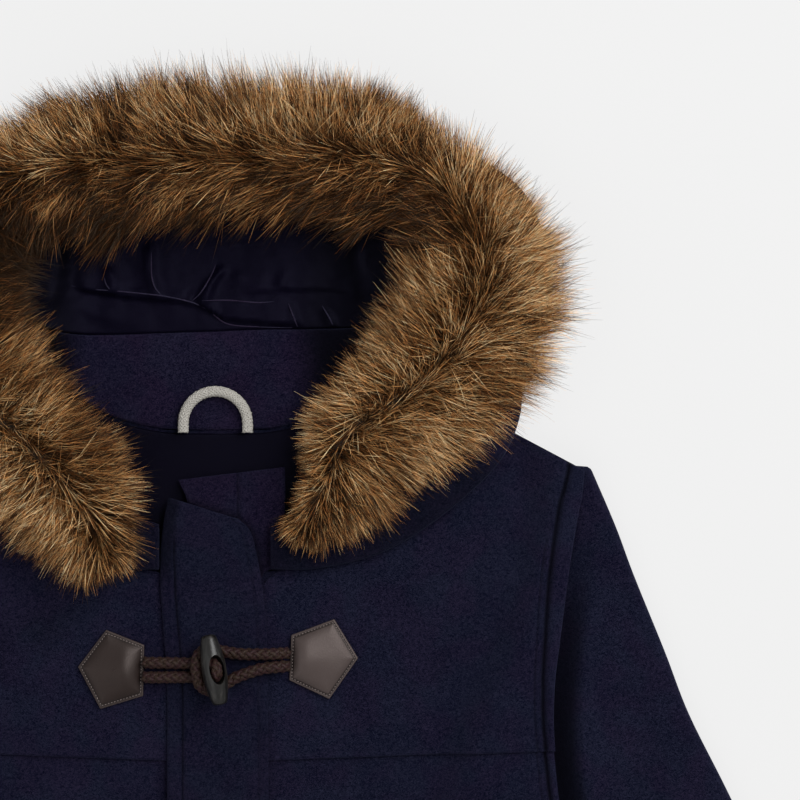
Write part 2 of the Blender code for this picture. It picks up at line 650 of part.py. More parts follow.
def cord_route(table, row):
    """A cord's route raised on what it crosses: the placket, or the cloth beside it."""
    route = []
    clear, drop = CORD_RAMP
    for x, y, lift in table:
        edge = PLACKET_RIGHT[0][0] if x > 0.0 else -PLACKET_LEFT[0][0]
        on_placket = smooth_step((edge + clear - abs(x)) / drop)
        beside = chest_top(x, row + y)
        ground = beside + (placket_top(0.0, row + y) - beside) * on_placket
        route.append((x, row + y, ground + SEAM + CORD_RADIUS + lift))
    return route


def make_toggle_set(number, row):
    make_patch(f"toggle_patch_{number}", LEFT_PATCH, row)
    make_patch(f"loop_patch_{number}", RIGHT_PATCH, row)
    make_toggle(f"toggle_{number}", row)
    make_cord(f"toggle_cord_{number}", cord_route(TOGGLE_CORD_ROUTE, row), CORD_RADIUS, 27,
              CORD_BROWN)
    make_cord(f"loop_cord_{number}", cord_route(LOOP_CORD_ROUTE, row), CORD_RADIUS, 27,
              CORD_BROWN)


def main():
    clear_scene()
    make_back()
    make_fronts()
    make_placket()
    for name, side in (("sleeve_right", 1.0), ("sleeve_left", -1.0)):
        make_sleeve(name, side)
    make_hood()
    make_trim()
    make_locker_loop()
    for number, row in enumerate(TOGGLE_ROWS, start=1):
        make_toggle_set(number, row)


main()
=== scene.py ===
"""Looks of a child's hooded duffle coat, laid flat: wool, lining, fur, leather, horn and cord."""
import math

import bpy
import numpy as np
from mathutils import Matrix, Vector


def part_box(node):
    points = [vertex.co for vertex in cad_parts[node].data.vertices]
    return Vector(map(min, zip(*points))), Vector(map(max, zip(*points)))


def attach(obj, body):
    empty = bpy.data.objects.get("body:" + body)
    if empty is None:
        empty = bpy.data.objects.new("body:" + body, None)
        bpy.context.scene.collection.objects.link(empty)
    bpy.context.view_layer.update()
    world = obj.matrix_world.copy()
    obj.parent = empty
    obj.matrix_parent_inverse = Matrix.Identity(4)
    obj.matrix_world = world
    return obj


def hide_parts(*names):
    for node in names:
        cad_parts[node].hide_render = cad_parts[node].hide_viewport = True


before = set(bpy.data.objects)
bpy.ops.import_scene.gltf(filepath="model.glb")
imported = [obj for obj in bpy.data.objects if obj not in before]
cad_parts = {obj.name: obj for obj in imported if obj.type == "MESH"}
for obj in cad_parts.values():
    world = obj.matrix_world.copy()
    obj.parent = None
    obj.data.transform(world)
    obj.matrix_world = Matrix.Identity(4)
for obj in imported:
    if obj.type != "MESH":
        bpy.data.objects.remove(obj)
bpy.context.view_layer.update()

MM = 0.001
HEM_Y = -570.0
# Pattern sizes are in millimetres from the middle of the back neck seam
NECK_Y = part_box("back_panel")[0][1] / MM - HEM_Y
WOOL = 2.5
YOKE_WALL = 1.8
LINING_WALL = 1.2
SEAM = 0.4
CROWN = 3.0
SLEEVE_HEIGHT = 8.5
TUCK_RAMP = 20.0
TUCK_MARGIN = 5.0
YOKE_SEAM_Y = -147.0
SHOULDER_TIP = (164.0, -17.0)
SIDE_NECK = (76.0, 30.0)
TOGGLE_ROWS = (-105.5, -235.5, -365.5)

# ------------------------------------------------------------------ cutting tables
BODY_SIDE = (
    (206, HEM_Y), (200, -500), (193.5, -428), (188.5, -376), (184, -322), (179.5, -268),
    (175, -216), (168, -194), (155, -172), (151, YOKE_SEAM_Y), (150.3, -132), (150.8, -112),
    (152.8, -95), (155, -78), (157.4, -60), (161, -38), (163, -28), SHOULDER_TIP,
)
# The first ten rows of both middles are level with those of the side
FRONT_MIDDLE = tuple((0.5, y) for _, y in BODY_SIDE[:10]) + (
    (0.5, -128), (0.5, -100), (0.5, -64), (30, -61), (56, -55), (70, -32), (75, 0), SIDE_NECK,
)
BACK_MIDDLE = tuple((0, y) for _, y in BODY_SIDE[:10]) + (
    (0, -128), (0, -100), (0, -60), (0, 0), (26, 1), (50, 8), (68, 20), SIDE_NECK,
)
SLEEVE_INNER = (
    (158.6, -15), (158.8, -38), (154.6, -60), (144, -95), (126, -132), (116, -172), (128, -216),
    (150, -268), (174, -322), (197, -376), (219, -428),
)
SLEEVE_OUTER = (
    (166.9, -15.6), (178.2, -42), (186.4, -64), (200.2, -98), (211, -126), (228, -160),
    (248, -202), (271, -252), (291, -303), (308, -354), (324, -404),
)
PLACKET_LEFT = (
    (-21.3, -569), (-21.3, -420), (-21.3, -280), (-21.3, -190), (-21.3, -145), (-21.4, -112),
    (-23.2, -86), (-24.2, -71), (-24.3, -55), (-23, -41), (-20.7, -29),
)
PLACKET_RIGHT = (
    (23.8, -569), (23.8, -420), (23.8, -280), (23.8, -190), (23.8, -145), (23.5, -113), (23, -88),
    (21.5, -72), (19.2, -57.5), (15.9, -44.5), (10.5, -38.6),
)
GUARD_LEFT = (
    (-12, -566), (-12, -420), (-12, -280), (-12, -160), (-12, -80), (-12, -64), (-12, -57),
    (-12.2, -33), (-16.4, -21.3),
)
GUARD_RIGHT = (
    (20, -566), (20, -420), (20, -280), (20, -160), (20, -80), (21, -64), (29, -57), (31, -34),
    (31, -15.5),
)


# ------------------------------------------------------------------ shape helpers
def step(value):
    """0 to 1, easing in and out."""
    value = np.clip(value, 0.0, 1.0)
    return value * value * (3.0 - 2.0 * value)


def reading(table, place):
    """What a table of (place, value) rows gives at a place."""
    return np.interp(place, *zip(*table))


def along(table, y):
    """x of a table of (x, y) points at the height y."""
    return reading(sorted((row[1], row[0]) for row in table), y)


def run_lengths(points):
    """How far along a line each of its points lies."""
    steps = np.linalg.norm(np.diff(points, axis=0), axis=1)
    return np.concatenate([[0.0], np.cumsum(steps)])


def spline(table, t):
    """Points of a smooth curve through a table, at row numbers t with fractions."""
    points = np.array(table, dtype=float)
    points = np.vstack([2 * points[0] - points[1], points, 2 * points[-1] - points[-2]])
    t = np.clip(np.asarray(t, dtype=float), 0.0, len(table) - 1.0)
    k = np.minimum(t.astype(int), len(table) - 2)
    f = (t - k)[:, None]
    a, b, c, d = points[k], points[k + 1], points[k + 2], points[k + 3]
    return 0.5 * (2 * b + (c - a) * f + (2 * a - 5 * b + 4 * c - d) * f ** 2
                  + (3 * b - a - 3 * c + d) * f ** 3)


def soft_folds(folds, x, y):
    """Ridges (+) and troughs (-): start, end, height, half width, bend of the line."""
    total = np.zeros_like(x, dtype=float)
    for (xa, ya), (xb, yb), height, half_width, bend in folds:
        dx, dy = xb - xa, yb - ya
        length = math.hypot(dx, dy)
        t = ((x - xa) * dx + (y - ya) * dy) / length ** 2
        across = ((x - xa) * dy - (y - ya) * dx) / length
        across = across - bend * np.sin(np.pi * np.clip(t, 0.0, 1.0))
        fade = step((t + 0.18) / 0.36) * step((1.18 - t) / 0.36)
        width = half_width * (0.75 + 0.5 * np.clip(t, 0.0, 1.0))
        total += height * fade * np.exp(-(across / width) ** 2)
    return total


def ripple(x, y, size, seed):
    """A smooth uneven field, about -1 to 1, from a few crossed waves of one size."""
    rng = np.random.default_rng(seed)
    total = np.zeros_like(x, dtype=float)
    for _ in range(7):
        angle, phase = rng.uniform(0, 2 * math.pi, 2)
        stretch = rng.uniform(0.6, 1.7) * 2 * math.pi / size
        total += np.sin((x * math.cos(angle) + y * math.sin(angle)) * stretch + phase)
    return total / 3.2


def tuck_lift(x, y):
    """How far the body stands off the surface where the sleeve lies under it."""
    foot = along(SLEEVE_INNER, y) - TUCK_MARGIN - TUCK_RAMP
    lift = (SLEEVE_HEIGHT + SEAM) * step((np.abs(x) - foot) / TUCK_RAMP)
    return np.where(y < SLEEVE_INNER[-1][1], 0.0, lift)


FRONT_FOLDS = (
    ((118, -57), (100, -125), -0.9, 17, 0),
    ((96, -40), (84, -84), 0.7, 18, 0),
    ((60, -430), (72, -560), 1, 24, 0),
    ((130, -400), (150, -540), -0.8, 22, 0),
    ((110, -230), (60, -300), 0.6, 24, 0),
)


def front_base(x, y):
    """Height of a front's underside."""
    width = along(BODY_SIDE, y)
    middle = np.maximum(0.0, 1.0 - (x / width) ** 2)
    ends = step((y - HEM_Y) / 90.0) * step((40.0 - y) / 90.0)
    folds = soft_folds(FRONT_FOLDS, np.abs(x), y)
    return tuck_lift(x, y) + WOOL + SEAM + CROWN * middle * ends + folds * middle


def yoke_base(x, y):
    """Height of a yoke's underside."""
    return front_base(x, y) + WOOL + SEAM


def chest_top(x, y):
    """Height of the upper cloth beside the placket."""
    return np.where(y > YOKE_SEAM_Y, yoke_base(x, y) + YOKE_WALL, front_base(x, y) + WOOL)


def guard_base(x, y):
    """Height of the inner guard's underside."""
    return front_base(x, np.minimum(y, -70.0)) + WOOL + SEAM


def placket_base(x, y):
    """Height of the placket's underside."""
    return guard_base(x, y) + YOKE_WALL + SEAM


def placket_top(x, y):
    """Height of the placket's face."""
    return placket_base(x, y) + WOOL


# ------------------------------------------------------------------ mesh helpers
def in_scene(name, data):
    """A new object at the origin for a mesh, a lamp or a camera."""
    obj = bpy.data.objects.new(name, data)
    bpy.context.scene.collection.objects.link(obj)
    return obj


def world_path(points):
    """Points in pattern millimetres as places in metres."""
    places = np.array(points, dtype=float)
    places[:, 1] += NECK_Y
    return places * MM


def new_object(name, points, faces, edges=()):
    """A smooth mesh object from points in pattern millimetres."""
    mesh = bpy.data.meshes.new(name)
    mesh.from_pydata(world_path(points).tolist(), edges, faces)
    mesh.update()
    mesh.shade_smooth()
    return in_scene(name, mesh)


def settled(name, obj):
    """The plain mesh that an object's modifier makes; the object is removed."""
    graph = bpy.context.evaluated_depsgraph_get()
    mesh = bpy.data.meshes.new_from_object(obj.evaluated_get(graph))
    mesh.name = name
    bpy.data.objects.remove(obj, do_unlink=True)
    return in_scene(name, mesh)


def edge_places(length, even, rim):
    """Places along a length: close together at both ends, even between them."""
    inner = np.linspace(rim[-1], length - rim[-1], even)
    return np.concatenate([rim, inner[1:-1], length - np.array(rim[::-1])])


RIM = (0.0, 0.35, 0.9, 1.7, 3.0)
SEAM_COLUMNS = (-2.6, -1.5, -0.75, 0.0, 0.75, 1.5, 2.6)


def edge_curve(table, t, corner):
    """A smooth curve through a table, with a sharp corner at one of its rows."""
    if corner is None:
        return spline(table, t)
    below = spline(table[:corner + 1], np.minimum(t, corner))
    above = spline(table[corner:], np.maximum(t - corner, 0.0))
    return np.where((t < corner)[:, None], below, above)


def ruled_points(left, right, rows_each, columns, corner=None, seams=()):
    """Grid between two edges, closer together along its rims and its seams.

    A seam is (1 or -1, table): how far it runs from the right or the left edge, by height.
    Returns x, y and the distances to the left, right, lower and upper edge."""
    count = len(left) - 1
    t = np.linspace(0.0, count, count * rows_each + 1)
    low_gap = math.dist(left[0], left[1]) + 1e-6
    high_gap = math.dist(right[-1], right[-2]) + 1e-6
    t = np.unique(np.concatenate([t, np.array(RIM) / low_gap, count - np.array(RIM) / high_gap]))
    t = t[np.concatenate([[True], np.diff(t) > 1e-4])]
    start, end = edge_curve(left, t, corner), spline(right, t)
    span = np.linalg.norm(end - start, axis=1)
    rim = np.array(RIM)
    share = np.empty((len(t), columns + 2 * len(RIM) - 2 + len(SEAM_COLUMNS) * len(seams)))
    for i, width in enumerate(span):
        scale = min(1.0, width / (2.5 * rim[-1]))
        places = [edge_places(width, columns, rim * scale)]
        for edge, table in seams:
            height = end[i, 1] if edge > 0 else start[i, 1]
            place = min(reading(table, height), 0.6 * width)
            beside = place + np.array(SEAM_COLUMNS) * min(1.0, place / 4.0)
            places.append(width - beside if edge > 0 else beside)
        share[i] = np.sort(np.concatenate(places)) / width
    x = start[:, :1] + (end[:, :1] - start[:, :1]) * share
    y = start[:, 1:] + (end[:, 1:] - start[:, 1:]) * share
    to_left = share * span[:, None]
    to_right = (1.0 - share) * span[:, None]
    steps = np.hypot(np.diff(x, axis=0), np.diff(y, axis=0))
    low = np.vstack([np.zeros((1, x.shape[1])), np.cumsum(steps, axis=0)])
    return x, y, to_left, to_right, low, low[-1] - low


def mirrored_points(low_table, high_table, rows_each, columns):
    """Grid between two edges, from one side through the middle to the other."""
    x, y, to_low, to_high, _, to_end = ruled_points(low_table, high_table, rows_each, columns)
    return [np.vstack([half, grid]) for half, grid in (
        (-x[:0:-1], x), (y[:0:-1], y), (to_low[:0:-1], to_low), (to_high[:0:-1], to_high),
        (to_end[:0:-1], to_end))]


def rolled(distance, wall):
    """How far a cut edge rounds down, at a distance from it."""
    reach = wall * 0.7
    inside = np.clip(1.0 - distance / reach, 0.0, 1.0)
    return wall / 2 * (1.0 - np.sqrt(1.0 - inside ** 2))


def groove(distance, place, depth, half_width):
    """The ditch that a row of stitches or a seam pulls into the cloth."""
    return -depth * np.exp(-((distance - place) / half_width) ** 2)


def grid_faces(rows, columns, offset=0, flip=False):
    """Quads of a grid of points stored row by row."""
    k = np.arange((rows - 1) * columns).reshape(rows - 1, columns)[:, :-1].ravel() + offset
    quads = np.stack([k, k + 1, k + columns + 1, k + columns], axis=1)
    return (quads[:, ::-1] if flip else quads).tolist()


def grid_rim(rows, columns):
    """Numbers of the points round the border of a grid, in order."""
    ring = list(range(columns))
    ring += [i * columns + columns - 1 for i in range(1, rows)]
    ring += [(rows - 1) * columns + j for j in range(columns - 2, -1, -1)]
    return ring + [i * columns for i in range(rows - 2, 0, -1)]


def ring_faces(rows, count, offset=0, flip=False):
    """Quads between closed rings of points stored one after another."""
    wrap = np.arange(count)
    following = np.roll(wrap, -1)
    faces = []
    for a in range(offset, offset + (rows - 1) * count, count):
        quads = np.stack([a + wrap, a + following, a + count + following, a + count + wrap], 1)
        faces += (quads[:, ::-1] if flip else quads).tolist()
    return faces


def cloth_shell(name, x, y, base, wall, rim_distance, relief=0.0, painted_shade=0.0):
    """A closed wall of cloth over a grid, with rounded cut edges.

    Painted shade darkens the bottoms of its ditches, and wherever the shade share given is above 0."""
    rows, columns = x.shape
    drop = rolled(rim_distance, wall)
    top = base + wall - drop + relief
    under = base + drop
    upper = np.stack([x, y, top], axis=-1).reshape(-1, 3)
    lower = np.stack([x, y, under], axis=-1).reshape(-1, 3)
    count = rows * columns
    area = np.sum((x[1:, 1:] - x[:-1, :-1]) * (y[1:, :-1] - y[:-1, 1:])
                  - (x[1:, :-1] - x[:-1, 1:]) * (y[1:, 1:] - y[:-1, :-1]))
    flip = area < 0
    faces = grid_faces(rows, columns, 0, flip) + grid_faces(rows, columns, count, not flip)
    ring = grid_rim(rows, columns)
    for a, b in zip(ring, ring[1:] + ring[:1]):
        side = (a, a + count, b + count, b)
        faces.append(side[::-1] if flip else side)
    made = new_object(name, np.vstack([upper, lower]), faces)
    # Painted shade: the ditches of seams and stitches are darkened as if shadowed
    ditch = 0.8 * np.clip((-relief - 0.35) / 0.9, 0.0, 1.0)
    shade = np.broadcast_to(np.maximum(ditch, painted_shade), x.shape)
    set_attribute(made.data, "painted_shade", "FLOAT", np.tile(shade.ravel(), 2))
    return made


def path_frames(points):
    """Unit tangents, and two normals carried along without twist."""
    tangents = np.gradient(points, axis=0)
    tangents /= np.linalg.norm(tangents, axis=1)[:, None]
    normal = np.cross(tangents[0], (0.0, 0.0, 1.0))
    normals = []
    for tangent in tangents:
        normal = normal - tangent * np.dot(normal, tangent)
        normal /= np.linalg.norm(normal)
        normals.append(normal)
    normals = np.array(normals)
    return tangents, normals, np.cross(tangents, normals)


def tube_parts(centres, side_a, side_b, radius_a, radius_b, sides):
    """Rings round a line, closed at both ends, as points and faces."""
    angles = 2 * math.pi * np.arange(sides) / sides
    ring = (np.cos(angles)[None, :, None] * side_a[:, None] * radius_a
            + np.sin(angles)[None, :, None] * side_b[:, None] * radius_b)
    last = (len(centres) - 1) * sides
    ends = [list(range(sides))[::-1], list(range(last, last + sides))]
    return (centres[:, None] + ring).reshape(-1, 3), ring_faces(len(centres), sides) + ends


# ------------------------------------------------------------------ finishes
def put(tree, kind, settings=None, **inputs):
    """A node with its settings, and its inputs set by value or linked from a socket."""
    made = tree.nodes.new(kind)
    for key, value in (settings or {}).items():
        setattr(made, key, value)
    for key, value in inputs.items():
        socket = made.inputs[int(key[1:])] if key[0] == "_" else made.inputs[key.replace("_", " ")]
        if isinstance(value, bpy.types.NodeSocket):
            tree.links.new(value, socket)
        else:
            socket.default_value = value
    return made


def colour_ramp(tree, value, *stops):
    """Colours along 0 to 1: each stop is (place, (r, g, b))."""
    ramp = put(tree, "ShaderNodeValToRGB", Fac=value)
    elements = ramp.color_ramp.elements
    while len(elements) < len(stops):
        elements.new(0.5)
    for element, (place, colour) in zip(elements, stops):
        element.position = place
        element.color = (*colour, 1.0)
    return ramp.outputs["Color"]


def object_place(tree):
    """The place on the object, for a texture."""
    return put(tree, "ShaderNodeTexCoord").outputs["Object"]


def attribute_share(tree, name):
    """A number stored on the mesh."""
    return put(tree, "ShaderNodeAttribute", {"attribute_name": name}).outputs["Fac"]


def noise(tree, place, scale, **more):
    """Soft noise, about 0.3 to 0.7."""
    return put(tree, "ShaderNodeTexNoise", Vector=place, Scale=scale, **more).outputs["Fac"]


def remap(tree, value, low=0.0, high=1.0, to_low=0.0, to_high=1.0, clamp=True):
    """A value carried from one range to another."""
    return put(tree, "ShaderNodeMapRange", {"clamp": clamp}, Value=value, From_Min=low,
               From_Max=high, To_Min=to_low, To_Max=to_high).outputs[0]


def maths(tree, operation, *values, clamp=False):
    """One step of arithmetic on values and sockets."""
    inputs = {f"_{number}": value for number, value in enumerate(values)}
    return put(tree, "ShaderNodeMath", {"operation": operation, "use_clamp": clamp},
               **inputs).outputs[0]


def mix(tree, share, first, second, blend="MIX"):
    """One colour laid over another by a share; a plain colour is three numbers."""
    ends = [(*end, 1.0) if isinstance(end, tuple) else end for end in (first, second)]
    return put(tree, "ShaderNodeMix", {"data_type": "RGBA", "blend_type": blend},
               Factor=share, _6=ends[0], _7=ends[1]).outputs[2]


def new_group(name, kind, inputs, outputs):
    """An empty node group with named sockets: (name, type, default or None)."""
    group = bpy.data.node_groups.new(name, kind)
    for label, value_kind, default in inputs:
        socket = group.interface.new_socket(label, in_out="INPUT",
                                            socket_type="NodeSocket" + value_kind)
        if default is not None:
            socket.default_value = default
    for label, value_kind in outputs:
        group.interface.new_socket(label, in_out="OUTPUT", socket_type="NodeSocket" + value_kind)
    return group, group.nodes.new("NodeGroupInput").outputs, group.nodes.new("NodeGroupOutput")


def surface_group(name, *sizes):
    """A group from a dark and a light colour and some sizes to a surface's look."""
    return new_group(
        name, "ShaderNodeTree",
        [("Dark", "Color", (0, 0, 0, 1)), ("Light", "Color", (1, 1, 1, 1)),
         *[(label, "Float", default) for label, default in sizes]],
        [("Color", "Color"), ("Height", "Float"), ("Roughness", "Float")])


def close_group(group, out, colour, height, roughness):
    """Hands over what a surface group works out."""
    for label, value in (("Color", colour), ("Height", height), ("Roughness", roughness)):
        group.links.new(value, out.inputs[label])
    return group


def nap_group():
    """Felted wool nap: tangled fibre flecks over slow cloudy patches."""
    group, given, out = surface_group("felted_nap", ("Fleck Size", 0.8), ("Cloud Size", 9.0),
                                      ("Redden", 0.0))
    where = object_place(group)
    fleck_scale = maths(group, "DIVIDE", 1000.0, given["Fleck Size"])
    cloud_scale = maths(group, "DIVIDE", 1000.0, given["Cloud Size"])
    fleck = noise(group, where, fleck_scale, Detail=3.0, Roughness=0.62, Distortion=1.4)
    squeezed = put(group, "ShaderNodeMapping", Vector=where, Scale=(1.0, 3.2, 1.0),
                   Rotation=(0.0, 0.0, 0.5)).outputs["Vector"]
    fibre = noise(group, squeezed, fleck_scale, Detail=2.0, Distortion=2.2)
    cloud = noise(group, where, cloud_scale, Detail=2.0)
    tangle = maths(group, "ADD", fleck, fibre)
    sharp = remap(group, tangle, 0.875, 1.125, 0.04, 0.80, clamp=False)
    patchy = remap(group, cloud, 0.3, 0.7, -0.09, 0.13)
    share = maths(group, "ADD", sharp, patchy, clamp=True)
    mixed = mix(group, share, given["Dark"], given["Light"])
    wide = remap(group, noise(group, where, 62.0, Detail=1.0), 0.40, 0.60)
    wide = maths(group, "MULTIPLY", wide, given["Redden"])
    redder = mix(group, 1.0, mixed, (1.13, 0.87, 0.97), "MULTIPLY")
    mixed = mix(group, wide, mixed, redder)
    return close_group(group, out, mixed, tangle, remap(group, share, to_low=0.98, to_high=0.84))


def grain_group():
    """Leather grain: small pebbles with creases between them, and a slow tone."""
    group, given, out = surface_group("leather_grain", ("Pebble Size", 0.7))
    where = object_place(group)
    scale = maths(group, "DIVIDE", 1000.0, given["Pebble Size"])
    warp = put(group, "ShaderNodeTexNoise", Vector=where, Scale=500.0, Detail=2.0)
    wavy = put(group, "ShaderNodeVectorMath", {"operation": "MULTIPLY_ADD"},
               _0=warp.outputs["Color"], _1=(0.0008, 0.0008, 0.0008), _2=where).outputs[0]
    pebble = put(group, "ShaderNodeTexVoronoi", {"feature": "SMOOTH_F1"}, Vector=wavy,
                 Scale=scale).outputs["Distance"]
    tone = noise(group, where, 160.0, Detail=4.0, Roughness=0.6)
    mixed = mix(group, tone, given["Dark"], given["Light"])
    rough = remap(group, pebble, 0.0, 0.8, 0.40, 0.50)
    return close_group(group, out, mixed, maths(group, "SUBTRACT", 1.0, pebble), rough)


def new_material(name):
    """A material with its node tree and its Principled shader."""
    made = bpy.data.materials.new(name)
    made.use_nodes = True
    return made, made.node_tree, made.node_tree.nodes["Principled BSDF"]


def dress(tree, shader, colour, roughness, specular, tint=None, sheen=None, sheen_tint=None):
    """Sets the base colour and how a surface shines; each is a value or a socket."""
    for label, value in (("Base Color", colour), ("Roughness", roughness),
                         ("Specular IOR Level", specular), ("Specular Tint", tint),
                         ("Sheen Weight", sheen), ("Sheen Tint", sheen_tint)):
        if isinstance(value, bpy.types.NodeSocket):
            tree.links.new(value, shader.inputs[label])
        elif value is not None:
            plain = (*value, 1.0) if isinstance(value, tuple) else value
            shader.inputs[label].default_value = plain


def bump(tree, shader, height, distance):
    """Raises a surface by a height map."""
    made = put(tree, "ShaderNodeBump", Height=height, Distance=distance, Strength=1.0)
    tree.links.new(made.outputs["Normal"], shader.inputs["Normal"])


NAP = nap_group()
GRAIN = grain_group()
# Near-black colour of painted shade, for hood hollows, seam ditches and shadowed bands
DEEP_SHADE = (0.0007, 0.0006, 0.0016)


def with_painted_shade(tree, colour):
    """Painted shade: wool and lining darken toward a near-black by the shade share stored on the
    mesh.
    """
    return mix(tree, attribute_share(tree, "painted_shade"), colour, DEEP_SHADE)


def wool(name, dark, light, fleck=1.0, cloud=26.0, bump_depth=0.00026):
    """Felted wool that reddens in patches, with a faint sheen."""
    made, tree, shader = new_material(name)
    nap = put(tree, "ShaderNodeGroup", {"node_tree": NAP}, Dark=(*dark, 1), Light=(*light, 1),
              Fleck_Size=fleck, Cloud_Size=cloud, Redden=1.0)
    dress(tree, shader, with_painted_shade(tree, nap.outputs["Color"]), nap.outputs["Roughness"], 0.04,
          sheen=0.05, sheen_tint=(0.45, 0.5, 1.0))
    shader.inputs["Sheen Roughness"].default_value = 0.5
    bump(tree, shader, nap.outputs["Height"], bump_depth)
    return made


def lining_material():
    """Smooth dark lining with a short shiny nap."""
    made, tree, shader = new_material("navy_lining")
    nap = put(tree, "ShaderNodeGroup", {"node_tree": NAP}, Dark=(0.0006, 0.0004, 0.0024, 1),
              Light=(0.0031, 0.0022, 0.0078, 1), Fleck_Size=0.5, Cloud_Size=14.0)
    dress(tree, shader, with_painted_shade(tree, nap.outputs["Color"]), 0.4, 0.055, (0.6, 0.58, 1.0))
    bump(tree, shader, nap.outputs["Height"], 0.00006)
    return made


def thread_material(name, colour):
    """A colour with fine uneven tone."""
    made, tree, shader = new_material(name)
    tone = noise(tree, object_place(tree), 1.0 / (1.2 * MM), Detail=3.0)
    low, high = [c * 0.65 for c in colour], [c * 1.35 for c in colour]
    dress(tree, shader, colour_ramp(tree, tone, (0.3, low), (0.7, high)), 0.6, 0.3)
    bump(tree, shader, tone, 0.00008)
    return made


def leather_material(name, dark, light):
    """Grained leather, paler at its cut rim and dark along its stitches."""
    made, tree, shader = new_material(name)
    grain = put(tree, "ShaderNodeGroup", {"node_tree": GRAIN}, Dark=(*dark, 1), Light=(*light, 1),
                Pebble_Size=0.55)
    rim = attribute_share(tree, "rim")
    edged = mix(tree, rim, grain.outputs["Color"], (0.085, 0.064, 0.058))
    sewn = mix(tree, remap(tree, rim, 0.0, -0.6), edged, (0.006, 0.004, 0.004))
    dress(tree, shader, sewn, grain.outputs["Roughness"], 0.42, (1.0, 0.86, 0.82))
    bump(tree, shader, grain.outputs["Height"], 0.00004)
    return made


def cord_material(name, dark, light, other, roughness, sheen):
    """Twisted yarn of two tones: fine fibres that follow each strand, by its own UV map."""
    made, tree, shader = new_material(name)
    place = put(tree, "ShaderNodeUVMap", {"uv_map": "strand"}).outputs["UV"]
    slanted = put(tree, "ShaderNodeMapping", Vector=place, Scale=(60.0, 4.0, 1.0),
                  Rotation=(0.0, 0.0, 0.6)).outputs["Vector"]
    fibre = noise(tree, slanted, 2.0, Detail=3.0)
    tone = remap(tree, noise(tree, object_place(tree), 420.0, Detail=1.0), 0.42, 0.58)
    pale = mix(tree, tone, light, other)
    dress(tree, shader, mix(tree, remap(tree, fibre, 0.34, 0.66), dark, pale), roughness, 0.3,
          None, sheen, (1.0, 0.8, 0.75))
    bump(tree, shader, fibre, 0.00016)
    return made


def horn_material():
    """Dark horn, streaked along its length."""
    made, tree, shader = new_material("dark_horn")
    drawn = put(tree, "ShaderNodeMapping", Vector=object_place(tree), Scale=(1.0, 0.16, 1.0),
                Rotation=(0.0, 0.0, -0.2)).outputs["Vector"]
    streak = noise(tree, drawn, 620.0, Detail=5.0, Roughness=0.65)
    colour = colour_ramp(tree, streak, (0.35, (0.005, 0.0045, 0.0043)),
                         (0.55, (0.013, 0.0122, 0.0114)), (0.75, (0.048, 0.044, 0.041)))
    dress(tree, shader, colour, remap(tree, streak, to_low=0.22, to_high=0.38), 0.4)
    bump(tree, shader, streak, 0.00003)
    return made


WOOL_CLOTH = wool("navy_melton", (0.0010, 0.0018, 0.0085), (0.0150, 0.0160, 0.035))
FACING_CLOTH = wool("navy_facing", (0.0016, 0.0014, 0.0085), (0.0175, 0.0150, 0.035))
# A paler copy of the wool for the tubes of painted highlight along the lining's tucks
TUCK_HIGHLIGHT = wool("navy_tuck_highlight", (0.014, 0.012, 0.025), (0.034, 0.030, 0.053), 0.8, 9.0, 0.0001)
LINING_CLOTH = lining_material()
PALE_THREAD = thread_material("pale_thread", (0.17, 0.135, 0.125))
# Lit and shaded copies of one leather: the loop patches get a paler copy as painted light, the
# toggle patches a darker one as painted shade
LEFT_LEATHER = leather_material("brown_leather", (0.0085, 0.0044, 0.0036),
                                (0.0155, 0.0088, 0.0075))
RIGHT_LEATHER = leather_material("lit_brown_leather", (0.0460, 0.0334, 0.0310),
                                 (0.0640, 0.0486, 0.0457))
CORD_YARN = cord_material("brown_cord", (0.0026, 0.0004, 0.0006), (0.039, 0.0088, 0.0104),
                          (0.040, 0.0170, 0.0075), 0.6, 0.02)
LOOP_YARN = cord_material("grey_cord", (0.22, 0.207, 0.188), (0.71, 0.685, 0.625),
                          (0.71, 0.685, 0.625), 0.45, 0.15)
HORN = horn_material()


def set_attribute(mesh, name, kind, values):
    """Stores one value for each point of a mesh."""
    made = mesh.attributes.new(name, kind, "POINT")
    made.data.foreach_set("vector" if kind == "FLOAT_VECTOR" else "value",
                          np.ascontiguousarray(values, dtype=np.float32).ravel())


def finish_piece(obj, finish, slot_name, *nodes):
    """Gives a piece its material and lets it stand for CAD nodes."""
    obj.data.materials.clear()
    obj.data.materials.append(finish)
    if nodes:
        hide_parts(*nodes)
    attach(obj, "root")
    return obj


def nearest_rim(*distances):
    """Distance to the nearest cut edge."""
    return np.minimum.reduce(distances)


# ------------------------------------------------------------------ back and fronts
NECK_STAY_LOW = ((0.0, -60.0), (20.0, -58.5), (40.0, -54.5), (55.0, -46.0), (65.0, -30.0))
NECK_STAY_HIGH = ((0.0, -0.8), (24.0, 0.0), (46.0, 5.4), (60.0, 13.6), (69.0, 19.6))


def make_back():
    """One piece from side to side, and the lining band below the neck seam."""
    x, y, _, right, low, high = ruled_points(BACK_MIDDLE, BODY_SIDE, 4, 26)
    x, y = np.hstack([-x[:, :0:-1], x]), np.hstack([y[:, :0:-1], y])
    rims = [np.hstack([d[:, :0:-1], d]) for d in (right, low, high)]
    back = cloth_shell("back_cloth", x, y, tuck_lift(x, y), WOOL, nearest_rim(*rims))
    finish_piece(back, WOOL_CLOTH, "wool", "back_panel")

    x, y, to_low, to_high, to_end = mirrored_points(NECK_STAY_LOW, NECK_STAY_HIGH, 6, 16)
    relief = 0.25 * ripple(x, y, 60.0, 5) * (np.abs(x) < 50) + groove(to_high, 5.0, 0.25, 0.9)
    # Painted shade: the band lies under the hood's trim and is darkened by 0.55
    stay = cloth_shell("neck_stay_cloth", x, y, WOOL + SEAM, LINING_WALL,
                       nearest_rim(to_low, to_high, to_end), relief, 0.55)
    finish_piece(stay, LINING_CLOTH, "lining", "back_neck_stay")


